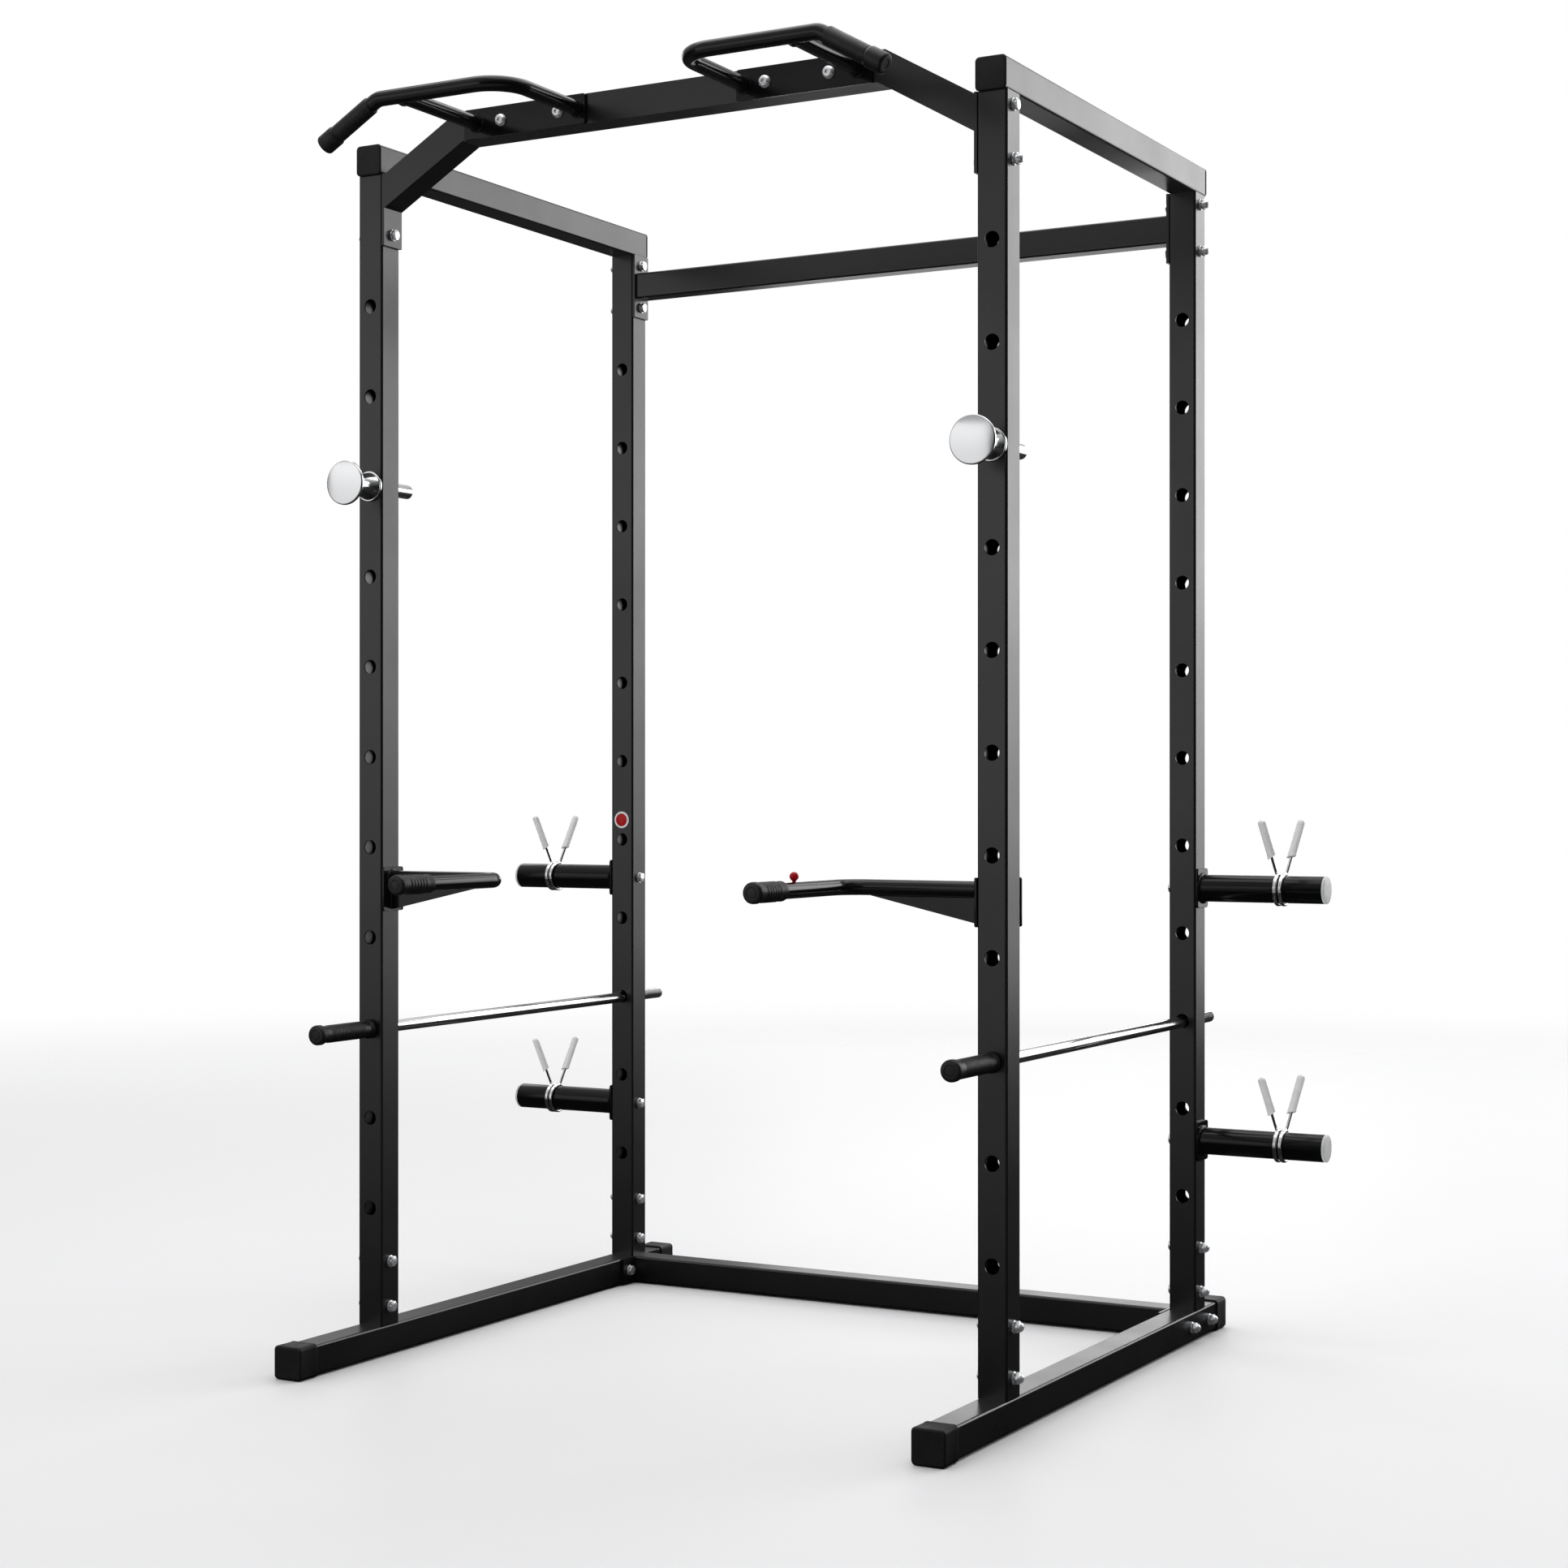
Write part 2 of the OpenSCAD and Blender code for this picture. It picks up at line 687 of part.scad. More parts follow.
clip_half_sleeve(1, 0, 1);  // clip_sleeve_lower_right
clip_half_sleeve(-1, 1, 1);  // clip_sleeve_upper_left
clip_half_sleeve(1, 1, 1);  // clip_sleeve_upper_right
clip_half_sleeve(-1, 0, -1);  // lever_sleeve_lower_left
clip_half_sleeve(1, 0, -1);  // lever_sleeve_lower_right
clip_half_sleeve(-1, 1, -1);  // lever_sleeve_upper_left
clip_half_sleeve(1, 1, -1);  // lever_sleeve_upper_right
frame_bolts();
frame_nuts();
grip_bolts();
peg_bolts();
marker_plug();
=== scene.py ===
import json
import math

import bmesh
import bpy
from mathutils import Matrix, Vector, noise


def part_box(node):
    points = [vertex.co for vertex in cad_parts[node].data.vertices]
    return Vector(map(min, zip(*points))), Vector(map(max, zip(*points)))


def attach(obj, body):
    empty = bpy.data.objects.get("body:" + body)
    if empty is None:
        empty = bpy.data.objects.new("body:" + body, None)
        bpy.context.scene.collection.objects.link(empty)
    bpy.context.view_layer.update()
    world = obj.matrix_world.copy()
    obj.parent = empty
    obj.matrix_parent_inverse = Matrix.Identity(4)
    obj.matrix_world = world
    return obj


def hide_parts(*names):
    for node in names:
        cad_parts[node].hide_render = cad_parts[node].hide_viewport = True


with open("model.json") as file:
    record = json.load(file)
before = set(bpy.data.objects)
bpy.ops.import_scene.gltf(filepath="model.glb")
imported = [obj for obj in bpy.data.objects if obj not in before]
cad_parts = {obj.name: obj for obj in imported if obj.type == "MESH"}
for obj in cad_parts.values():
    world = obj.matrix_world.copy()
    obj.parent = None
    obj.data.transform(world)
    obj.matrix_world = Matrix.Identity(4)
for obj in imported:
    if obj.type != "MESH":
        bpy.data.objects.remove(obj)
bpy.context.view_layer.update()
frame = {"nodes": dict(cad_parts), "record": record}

# The power cage's looks. The frame tubes, plates and beam are the CAD's own nodes with
# powder-coat materials. Rubber grips, chrome parts, wire clips, caps, fasteners, welds and
# bent tubes are built here in mesh code, where the CAD says they are. Metres throughout.

MM = 0.001
SIDES = {"left": -1, "right": 1}
LEVELS = ("lower", "upper")
BODY = "frame"
PLATE_T = 5 * MM         # every welded mount plate
PLATE_W = 50 * MM        # a plate as wide as the frame tube that it sits on
BENT_R = 12.5 * MM       # the bent tubes of the pull-up grips and dip handles
LAP = 1 * MM             # how far a bent tube's end goes into its plate
BEAD_OFF = 0.8 * MM      # from a round tube's surface to the middle of the weld round it


# ---------------------------------------------------------------- camera, floor, light

def make_camera():
    """The photo's viewpoint, solved from the cage's own straight edges."""
    data = bpy.data.cameras.new("camera")
    data.sensor_width = 36.0
    data.lens = 62.03
    data.clip_start, data.clip_end = 0.05, 200.0
    camera = bpy.data.objects.new("camera", data)
    camera.location = (2.305, -4.081, 0.982)
    camera.rotation_euler = (math.radians(90.09), 0.0, math.radians(29.04))
    bpy.context.scene.collection.objects.link(camera)
    bpy.context.scene.camera = camera


def area_light(name, place, target, size, power):
    """A soft panel that shines at a target, and that the camera doesn't see."""
    data = bpy.data.lights.new(name, "AREA")
    data.shape = "RECTANGLE"
    data.size, data.size_y = size
    data.energy = power
    lamp = bpy.data.objects.new(name, data)
    lamp.location = place
    aim = Vector(target) - Vector(place)
    lamp.rotation_euler = aim.to_track_quat("-Z", "Y").to_euler()
    lamp.visible_camera = False
    bpy.context.scene.collection.objects.link(lamp)


def make_lights():
    """Panels all round. Those at the back show in the gloss of the top and base rails."""
    area_light("overhead", (0.2, 0.4, 4.8), (0, 0, 0), (4.6, 4.6), 118)
    area_light("back_right", (3.3, 5.7, 2.85), (-0.2, -0.2, 2.3), (3.4, 3.1), 124)
    area_light("back_low", (3.3, 5.7, 0.75), (-0.2, -0.2, 0.75), (3.4, 1.1), 24)
    area_light("back_middle", (-1.9, 5.8, 1.48), (0.3, 0.0, 0.1), (2.4, 1.0), 20)
    area_light("back_high", (0.8, 5.7, 4.2), (-0.6, 0.0, 0.05), (1.3, 2.2), 20)
    area_light("front_left", (-3.1, -5.5, 1.85), (0.0, -0.4, 1.6), (5.4, 3.3), 59)
    area_light("back_left", (-4.8, 3.4, 3.0), (0.0, 0.0, 1.1), (2.6, 2.4), 23)


def map_range(tree, value, source, target=(0.0, 1.0), kind="LINEAR"):
    """A value taken from one range to another."""
    made = tree.nodes.new("ShaderNodeMapRange")
    made.interpolation_type = kind
    made.inputs["From Min"].default_value, made.inputs["From Max"].default_value = source
    made.inputs["To Min"].default_value, made.inputs["To Max"].default_value = target
    tree.links.new(value, made.inputs["Value"])
    return made.outputs["Result"]


def mix_shaders(tree, factor, first, second):
    """The first shader where the factor is 0, and the second where it is 1."""
    made = tree.nodes.new("ShaderNodeMixShader")
    for source, socket in zip((factor, first, second), made.inputs):
        tree.links.new(source, socket)
    return made.outputs[0]


def coordinate(tree, vector, axis):
    """One coordinate of a vector."""
    made = tree.nodes.new("ShaderNodeSeparateXYZ")
    tree.links.new(vector, made.inputs[0])
    return made.outputs[axis]


def gray(value):
    return (value, value, value, 1.0)


# The room that the metal reflects: its brightness from straight below, 0, to straight above, 1.
ROOM_RISE = ((0.0, 0.30), (0.28, 0.22), (0.34, 0.03), (0.50, 0.03), (0.53, 0.09), (0.62, 0.30),
             (0.80, 0.75), (1.0, 0.9))
DIM_SIDE = (0.94, -0.34, 0.0)        # the direction in which the room gets dimmer
DIM_FROM_TO = (0.1, 0.8)             # how far that way it starts and ends
DIM_STRENGTH = (1.0, 0.25)


def make_world():
    """White behind the object; what the metal reflects is dimmer, and darkest to its right."""
    world = bpy.data.worlds.new("studio")
    bpy.context.scene.world = world
    world.use_nodes = True
    tree = world.node_tree
    nodes, links = tree.nodes, tree.links
    nodes.clear()
    place = nodes.new("ShaderNodeTexCoord").outputs["Generated"]
    rise = nodes.new("ShaderNodeValToRGB")
    stops = rise.color_ramp.elements
    stops[0].position, stops[0].color = ROOM_RISE[0][0], gray(ROOM_RISE[0][1])
    stops[1].position, stops[1].color = ROOM_RISE[-1][0], gray(ROOM_RISE[-1][1])
    for at, value in ROOM_RISE[1:-1]:
        stops.new(at).color = gray(value)
    links.new(map_range(tree, coordinate(tree, place, "Z"), (-1.0, 1.0)), rise.inputs["Fac"])
    side = nodes.new("ShaderNodeVectorMath")
    side.operation = "DOT_PRODUCT"
    side.inputs[1].default_value = DIM_SIDE
    links.new(place, side.inputs[0])
    room = nodes.new("ShaderNodeBackground")
    links.new(rise.outputs["Color"], room.inputs["Color"])
    links.new(map_range(tree, side.outputs["Value"], DIM_FROM_TO, DIM_STRENGTH),
              room.inputs["Strength"])
    seen = nodes.new("ShaderNodeBackground")
    seen.inputs["Color"].default_value = gray(1.0)
    to_camera = nodes.new("ShaderNodeLightPath").outputs["Is Camera Ray"]
    out = nodes.new("ShaderNodeOutputWorld")
    links.new(mix_shaders(tree, to_camera, room.outputs[0], seen.outputs[0]),
              out.inputs["Surface"])
    bpy.context.scene.view_settings.view_transform = "Standard"


FLOOR_R = 9.0
FLOOR_FADE = (1.6, 8.0)              # distances between which the floor fades out
FLOOR_SINK = 0.5 * MM                # so that the feet don't share its plane
PAINTED_SHADE_Y = (-1.2, -3.0)            # the floor's painted shade, seen only in reflections, is darkest at the first of these places in front, and lighter at the second
PAINTED_SHADE = (0.02, 0.6)               # of these places in front, and lighter at the second


def make_floor():
    """A pale round floor that fades into white; its near part carries a painted shade that only
    reflections see, so the metal reflects it dark.
    """
    mesh = bpy.data.meshes.new("floor")
    bm = bmesh.new()
    bmesh.ops.create_circle(bm, cap_ends=True, radius=FLOOR_R, segments=96)
    bm.to_mesh(mesh)
    bm.free()
    floor = bpy.data.objects.new("floor", mesh)
    bpy.context.scene.collection.objects.link(floor)
    paint = Paint("floor_pale", (0.80, 0.80, 0.81), 0.55)
    paint.tint((0.797, 0.797, 0.807), (0.803, 0.803, 0.813), 3.0).grain(60.0, 0.2 * MM, 0.2)
    tree, nodes, links = paint.tree, paint.nodes, paint.links
    away = nodes.new("ShaderNodeVectorMath")
    away.operation = "LENGTH"
    links.new(paint.where, away.inputs[0])
    fade = map_range(tree, away.outputs["Value"], FLOOR_FADE, kind="SMOOTHSTEP")
    # painted shade: a darker diffuse floor near the cage, shown only to glossy rays, paints dark
    # reflections onto the metal
    painted_shade = nodes.new("ShaderNodeBsdfDiffuse")
    links.new(map_range(tree, coordinate(tree, paint.where, "Y"), PAINTED_SHADE_Y, PAINTED_SHADE),
              painted_shade.inputs["Color"])
    glossy = nodes.new("ShaderNodeLightPath").outputs["Is Glossy Ray"]
    near = mix_shaders(tree, glossy, paint.shader.outputs[0], painted_shade.outputs[0])
    clear = nodes.new("ShaderNodeBsdfTransparent")
    links.new(mix_shaders(tree, fade, near, clear.outputs[0]), paint.out.inputs["Surface"])
    mesh.materials.append(paint.done)
    floor.location.z = -FLOOR_SINK


# ---------------------------------------------------------------- materials

NOISE_SPREAD = (0.3, 0.7)            # most of a noise texture's values lie between these
GRAIN_DETAIL = 2.0
COAT_ROUGH = 0.1
EVEN = (1.0, 1.0, 1.0)


class Paint:
    """A Principled material with helpers for colour, roughness and bump from object space."""

    def __init__(self, name, color, rough, metallic=0.0, specular=0.5, coat=0.0):
        self.done = bpy.data.materials.new(name)
        self.done.use_nodes = True
        self.done.diffuse_color = (*color, 1.0)
        self.tree = self.done.node_tree
        self.nodes, self.links = self.tree.nodes, self.tree.links
        self.shader = self.nodes["Principled BSDF"]
        self.out = self.nodes["Material Output"]
        self.where = self.nodes.new("ShaderNodeTexCoord").outputs["Object"]
        self.bump = None
        for socket, value in (
                ("Base Color", (*color, 1.0)), ("Roughness", rough), ("Metallic", metallic),
                ("Specular IOR Level", specular), ("Coat Weight", coat),
                ("Coat Roughness", COAT_ROUGH)):
            self.shader.inputs[socket].default_value = value

    def noise(self, scale, detail, stretch=EVEN):
        mapping = self.nodes.new("ShaderNodeMapping")
        mapping.inputs["Scale"].default_value = stretch
        texture = self.nodes.new("ShaderNodeTexNoise")
        texture.inputs["Scale"].default_value = scale
        texture.inputs["Detail"].default_value = detail
        self.links.new(self.where, mapping.inputs["Vector"])
        self.links.new(mapping.outputs["Vector"], texture.inputs["Vector"])
        return texture.outputs["Fac"]

    def tint(self, low, high, scale, detail=3.0):
        """Varies the colour between low and high."""
        ramp = self.nodes.new("ShaderNodeValToRGB")
        for stop, at, color in zip(ramp.color_ramp.elements, NOISE_SPREAD, (low, high)):
            stop.position, stop.color = at, (*color, 1.0)
        self.links.new(self.noise(scale, detail), ramp.inputs["Fac"])
        self.links.new(ramp.outputs["Color"], self.shader.inputs["Base Color"])
        return self

    def rough(self, low, high, scale, detail=4.0, stretch=EVEN):
        """Varies the roughness between low and high."""
        value = self.noise(scale, detail, stretch)
        self.links.new(map_range(self.tree, value, NOISE_SPREAD, (low, high)),
                       self.shader.inputs["Roughness"])
        return self

    def grain(self, scale, depth, strength):
        """Adds a noise bump of that depth in metres, on top of any bump that is there."""
        bump = self.nodes.new("ShaderNodeBump")
        bump.inputs["Strength"].default_value = strength
        bump.inputs["Distance"].default_value = depth
        self.links.new(self.noise(scale, GRAIN_DETAIL), bump.inputs["Height"])
        if self.bump is not None:
            self.links.new(self.bump, bump.inputs["Normal"])
        self.bump = bump.outputs["Normal"]
        self.links.new(self.bump, self.shader.inputs["Normal"])
        return self


def make_materials():
    """A material for each of the record's slots, and a duller chrome for the bar holders."""
    paints = {
        "frame_paint": Paint("frame_powder_black", (0.005, 0.005, 0.0053), 0.30)
        .tint((0.0038, 0.0038, 0.004), (0.0064, 0.0064, 0.0068), 420.0, 2.0)
        .rough(0.27, 0.33, 7.0)
        .grain(620.0, 0.06 * MM, 0.4).grain(90.0, 0.03 * MM, 0.2),

        "grip_paint": Paint("grip_gloss_black", (0.004, 0.004, 0.0043), 0.16, specular=0.26)
        .tint((0.003, 0.003, 0.0033), (0.0054, 0.0054, 0.0058), 300.0, 2.0)
        .rough(0.12, 0.20, 9.0)
        .grain(520.0, 0.05 * MM, 0.4),

        "peg_paint": Paint("peg_satin_black", (0.0025, 0.0025, 0.0027), 0.15, specular=0.18)
        .tint((0.0018, 0.0018, 0.002), (0.0034, 0.0034, 0.0036), 380.0, 2.0)
        .rough(0.12, 0.18, 14.0, stretch=(0.2, 1.0, 1.0))
        .grain(560.0, 0.05 * MM, 0.4),

        "cap_plastic": Paint("cap_moulded_black", (0.005, 0.005, 0.005), 0.5, specular=0.26)
        .tint((0.0035, 0.0035, 0.0035), (0.007, 0.007, 0.007), 240.0)
        .rough(0.42, 0.6, 30.0)
        .grain(1500.0, 0.10 * MM, 0.6),

        "grip_rubber": Paint("grip_rubber_black", (0.004, 0.004, 0.004), 0.42, specular=0.32)
        .tint((0.003, 0.003, 0.003), (0.007, 0.007, 0.007), 160.0, 5.0)
        .rough(0.34, 0.52, 45.0)
        .grain(1800.0, 0.12 * MM, 0.7).grain(240.0, 0.1 * MM, 0.3),

        "peg_cap_plastic": Paint("peg_cap_grey", (0.61, 0.62, 0.63), 0.34)
        .tint((0.57, 0.58, 0.59), (0.66, 0.67, 0.68), 90.0)
        .rough(0.3, 0.5, 40.0)
        .grain(900.0, 0.05 * MM, 0.3),

        "clip_vinyl": Paint("clip_vinyl_white", (0.87, 0.87, 0.86), 0.25, coat=0.4)
        .tint((0.84, 0.84, 0.83), (0.90, 0.90, 0.89), 60.0)
        .rough(0.2, 0.36, 70.0)
        .grain(260.0, 0.06 * MM, 0.2),

        "chrome_plate": Paint("chrome_polished", (0.82, 0.825, 0.84), 0.12, metallic=1.0)
        .tint((0.79, 0.795, 0.81), (0.85, 0.855, 0.87), 12.0)
        .rough(0.08, 0.17, 24.0, 6.0)
        .grain(700.0, 0.01 * MM, 0.3),

        "chrome_satin": Paint("chrome_satin", (0.66, 0.665, 0.675), 0.16, metallic=1.0)
        .tint((0.63, 0.635, 0.645), (0.69, 0.695, 0.705), 12.0)
        .rough(0.13, 0.20, 24.0, 6.0)
        .grain(700.0, 0.01 * MM, 0.3),

        "zinc_plate": Paint("zinc_bright", (0.82, 0.83, 0.85), 0.28, metallic=0.8)
        .tint((0.74, 0.75, 0.77), (0.90, 0.91, 0.93), 180.0, 4.0)
        .rough(0.18, 0.38, 260.0)
        .grain(900.0, 0.04 * MM, 0.5),

        "marker_red": Paint("marker_red", (0.42, 0.003, 0.006), 0.3, specular=0.2)
        .tint((0.37, 0.002, 0.004), (0.47, 0.004, 0.008), 120.0)
        .rough(0.2, 0.34, 90.0)
        .grain(500.0, 0.05 * MM, 0.4),

        "marker_white": Paint("marker_white", (0.78, 0.78, 0.77), 0.35)
        .tint((0.72, 0.72, 0.71), (0.84, 0.84, 0.83), 120.0)
        .rough(0.28, 0.42, 90.0)
        .grain(500.0, 0.05 * MM, 0.4),
    }
    return {slot: paint.done for slot, paint in paints.items()}


def paint_cad_nodes():
    """Gives every node of the CAD the material of its slot."""
    for part in frame["record"]["subparts"]:
        used = frame["nodes"][part["node"]].data.materials
        used.clear()
        used.append(material[part["material_slot"]])


# ---------------------------------------------------------------- mesh tools

SHARP = math.radians(35.0)           # edges that turn more than this are drawn sharp
STRAIGHT = math.radians(179.0)       # a corner flatter than this isn't rounded
MOST_CUT = 0.49                      # an arc takes at most this much of either side


class Shape:
    """Collects rings of points and faces, and becomes one object."""

    def __init__(self):
        self.bm = bmesh.new()
        self.slot = 0

    def ring(self, points):
        return [self.bm.verts.new(p) for p in points]

    def face(self, verts):
        made = self.bm.faces.new(verts)
        made.material_index = self.slot
        made.smooth = True

    def bridge(self, a, b):
        count = len(a)
        for i in range(count):
            j = (i + 1) % count
            self.face([a[i], a[j], b[j], b[i]])

    def loft(self, rings, closed=False):
        """A skin over rings of points, capped at both ends or closed on itself."""
        made = [self.ring(points) for points in rings]
        for a, b in zip(made, made[1:]):
            self.bridge(a, b)
        if closed:
            self.bridge(made[-1], made[0])
        else:
            self.face(list(reversed(made[0])))
            self.face(made[-1])

    def finish(self, name, slot, node, body=BODY, looks=None):
        """Becomes the piece that replaces a CAD node, in its slot's material or the named ones."""
        bmesh.ops.recalc_face_normals(self.bm, faces=self.bm.faces)
        for edge in self.bm.edges:
            if len(edge.link_faces) == 2 and edge.calc_face_angle(0.0) > SHARP:
                edge.smooth = False
        mesh = bpy.data.meshes.new(name)
        self.bm.to_mesh(mesh)
        self.bm.free()
        piece = bpy.data.objects.new(name, mesh)
        bpy.context.scene.collection.objects.link(piece)
        for look in looks or (slot,):
            mesh.materials.append(material[look])
        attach(piece, body)
        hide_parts(node)


def fillet(points, radius, steps):
    """The points with inner corners replaced by arcs; radius is one number or one per point."""
    points = [Vector(p) for p in points]
    radii = radius if isinstance(radius, (list, tuple)) else [radius] * len(points)
    path = [points[0]]
    for before, corner, after, want in zip(points, points[1:], points[2:], radii[1:]):
        back, on = before - corner, after - corner
        if want <= 0 or back.angle(on) > STRAIGHT:
            path.append(corner)
            continue
        half = back.angle(on) / 2
        cut = min(want / math.tan(half), back.length * MOST_CUT, on.length * MOST_CUT)
        r = cut * math.tan(half)
        a = corner + back.normalized() * cut
        b = corner + on.normalized() * cut
        centre = corner + (back.normalized() + on.normalized()).normalized() * (r / math.sin(half))
        turn = (a - centre).angle(b - centre)
        axis = (a - centre).cross(b - centre).normalized()
        for i in range(steps + 1):
            path.append(centre + Matrix.Rotation(turn * i / steps, 3, axis) @ (a - centre))
    path.append(points[-1])
    return path


def frames_along(path, closed):
    """A pair of side vectors at each point of a path, turned as little as possible."""
    count = len(path)
    tangents = []
    for i in range(count):
        a = path[(i - 1) % count] if closed or i else path[i]
        b = path[(i + 1) % count] if closed or i < count - 1 else path[i]
        tangents.append((b - a).normalized())
    side = tangents[0].orthogonal().normalized()
    pairs = []
    for i, t in enumerate(tangents):
        if i:
            side = tangents[i - 1].rotation_difference(t) @ side
        side = (side - t * side.dot(t)).normalized()
        pairs.append((side, t.cross(side)))
    return pairs


def turns(steps):
    """Even angles round a full turn."""
    return [2 * math.pi * k / steps for k in range(steps)]


def sweep(shape, path, radius, segments, closed=False):
    """Sweeps a circle along a path. radius is a number or a function of the point's number."""
    path = [Vector(p) for p in path]
    rings = []
    for i, (point, (u, v)) in enumerate(zip(path, frames_along(path, closed))):
        r = radius(i) if callable(radius) else radius
        rings.append([point + (u * math.cos(a) + v * math.sin(a)) * r for a in turns(segments)])
    shape.loft(rings, closed)


def along(origin, axis):
    """Matrix that takes +Z to axis at origin."""
    return Matrix.Translation(origin) @ Vector(axis).to_track_quat("Z", "Y").to_matrix().to_4x4()


def revolve(shape, profile, matrix, segments):
    """Turns a profile of (radius, height) points round +Z. It starts and ends on the axis."""
    made = [
        shape.ring(matrix @ Vector((r * math.cos(a), r * math.sin(a), h)) for a in turns(segments))
        for r, h in profile[1:-1]
    ]
    for a, b in zip(made, made[1:]):
        shape.bridge(a, b)
    for ring, (_, h), flip in ((made[0], profile[0], True), (made[-1], profile[-1], False)):
        tip = shape.bm.verts.new(matrix @ Vector((0.0, 0.0, h)))
        for i in range(segments):
            j = (i + 1) % segments
            shape.face([ring[j], ring[i], tip] if flip else [ring[i], ring[j], tip])


def soft(points, steps=3):
    """A profile with rounded corners, from (radius, height) or (radius, height, rounding)."""
    rounding = [p[2] if len(p) > 2 else 0.0 for p in points]
    flat = fillet([(p[0], 0.0, p[1]) for p in points], rounding, steps)
    return [(p.x, p.z) for p in flat]


def turned(node, slot, profile, matrix, segments, body=BODY, look=None):
    """A turned piece in place of a CAD node, in its slot's material or the one named."""
    shape = Shape()
    revolve(shape, profile, matrix, segments)
    shape.finish(node + "_turned", slot, node, body, look and (look,))


def rounded_outline(width, height, radius):
    """Points round a rectangle with round corners, centred on the origin."""
    points, steps = [], 6
    for k, (sx, sy) in enumerate(((1, 1), (-1, 1), (-1, -1), (1, -1))):
        centre = (sx * (width / 2 - radius), sy * (height / 2 - radius))
        for i in range(steps + 1):
            a = math.pi / 2 * (k + i / steps)
            points.append((centre[0] + radius * math.cos(a), centre[1] + radius * math.sin(a)))
    return points


def facing_x(x, y, z):
    """Matrix of a plate whose faces look along X: its width lies along Y, its height along Z."""
    return Matrix(((0, 0, 1, x), (1, 0, 0, y), (0, 1, 0, z), (0, 0, 0, 1)))


def facing_y(x, y, z):
    """Matrix of a plate whose faces look along Y: its width lies along X, its height along Z."""
    return Matrix(((1, 0, 0, x), (0, 0, -1, y), (0, 1, 0, z), (0, 0, 0, 1)))


def mount_plate(shape, width, height, corner, matrix):
    """A flat plate with round corners and softened rims, centred on the matrix's origin."""
    outline = [Vector(p) for p in rounded_outline(width, height, corner)]
    reach = max(p.length for p in outline)
    rim, half = 0.8 * MM, PLATE_T / 2
    shape.loft([
        [matrix @ Vector((*(p * (1 - inset / reach)), lift)) for p in outline]
        for inset, lift in ((rim, -half), (0.0, rim - half), (0.0, half - rim), (rim, half))
    ])


def weld(shape, path, size, pitch=3.5 * MM, closed=True):
    """A weld bead along a path: a lumpy half-buried roll, one ripple for each pitch."""
    ripple_share, lump_share, lump_scale = 0.12, 0.14, 90.0
    path = [Vector(p) for p in path]
    if closed:
        path = path + [path[0]]
    dense = []
    for a, b in zip(path, path[1:]):
        steps = max(1, int((b - a).length / (pitch / 3)))
        dense += [a.lerp(b, i / steps) for i in range(steps)]
    if not closed:
        dense.append(path[-1])
    travelled = [0.0]
    for a, b in zip(dense, dense[1:]):
        travelled.append(travelled[-1] + (b - a).length)

    def radius(i):
        ripple = ripple_share * math.sin(2 * math.pi * travelled[i] / pitch)
        return size * (1.0 + ripple + lump_share * noise.noise(dense[i] * lump_scale))

    sweep(shape, dense, radius, 8, closed)


def circle_path(centre, axis, radius):
    turn = along(centre, axis)
    return [turn @ Vector((radius * math.cos(a), radius * math.sin(a), 0.0)) for a in turns(40)]


def islands(node):
    """The box of each separate solid in a CAD node, as (lowest corner, highest corner)."""
    bm = bmesh.new()
    bm.from_mesh(frame["nodes"][node].data)
    bmesh.ops.remove_doubles(bm, verts=bm.verts, dist=0.01 * MM)
    left, found = set(bm.verts), []
    while left:
        queue, group = [left.pop()], []
        while queue:
            v = queue.pop()
            group.append(v.co.copy())
            for e in v.link_edges:
                other = e.other_vert(v)
                if other in left:
                    left.remove(other)
                    queue.append(other)
        found.append((
            Vector([min(c[i] for c in group) for i in range(3)]),
            Vector([max(c[i] for c in group) for i in range(3)])))
    bm.free()
    return sorted(found, key=lambda box: tuple(round(x, 4) for x in box[0]))


def box_of(node):
    """A CAD node's lowest corner, highest corner and middle."""
    low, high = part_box(node)
    return low, high, (low + high) / 2


def span_x(low, high):
    """The side of the cage that a box is on, and its least and greatest distance from X=0."""
    near, far = sorted((abs(low.x), abs(high.x)))
    return (1 if low.x + high.x > 0 else -1), near, far


# ---------------------------------------------------------------- fasteners

HEX_FLAT = 17 * MM                   # across the flats of bolt heads and nuts
HEX_HEIGHT, NUT_HEIGHT = 6.4 * MM, 8 * MM
WASHER_R, WASHER_T = 10 * MM, 2 * MM
HEAD = WASHER_T + HEX_HEIGHT         # a bolt's head with its washer
SHANK_R = 5 * MM
BUTTON_RISE = 3 * MM
LONGEST_NUT = 40 * MM                # a fastener longer than this is a bolt
LONGEST_OPEN_NUT = 12 * MM           # a nut longer than this is domed
BEAM_LEVEL = 2.0                     # the pull-up beam's bolts are above this height


def hex_ring(circle, matrix, height):
    """A ring that follows a hexagon, held inside a circle of that radius."""
    points = []
    for a in turns(36):
        off = (a % (math.pi / 3)) - math.pi / 6
        r = min(HEX_FLAT / 2 / math.cos(off), circle)
        points.append(matrix @ Vector((r * math.cos(a), r * math.sin(a), height)))
    return points


def hex_prism(shape, matrix, height):
    """A hexagon on a washer, with both faces chamfered, as turned on a lathe."""
    corner, round_face, flat_face = HEX_FLAT / math.sqrt(3), HEX_FLAT / 2, HEX_FLAT * 0.475
    edge, cut = 0.2 * MM, 1.1 * MM
    shape.loft([
        hex_ring(circle, matrix, WASHER_T + up) for circle, up in (
            (flat_face, 0), (round_face, edge), (corner, cut),
            (corner, height - cut), (round_face, height - edge), (flat_face, height))
    ])


def washer(shape, matrix):
    edge = 0.3 * MM
    revolve(shape, [
        (0, 0), (WASHER_R - edge, 0), (WASHER_R, edge),
        (WASHER_R, WASHER_T - edge), (WASHER_R - edge, WASHER_T), (0, WASHER_T)], matrix, 40)


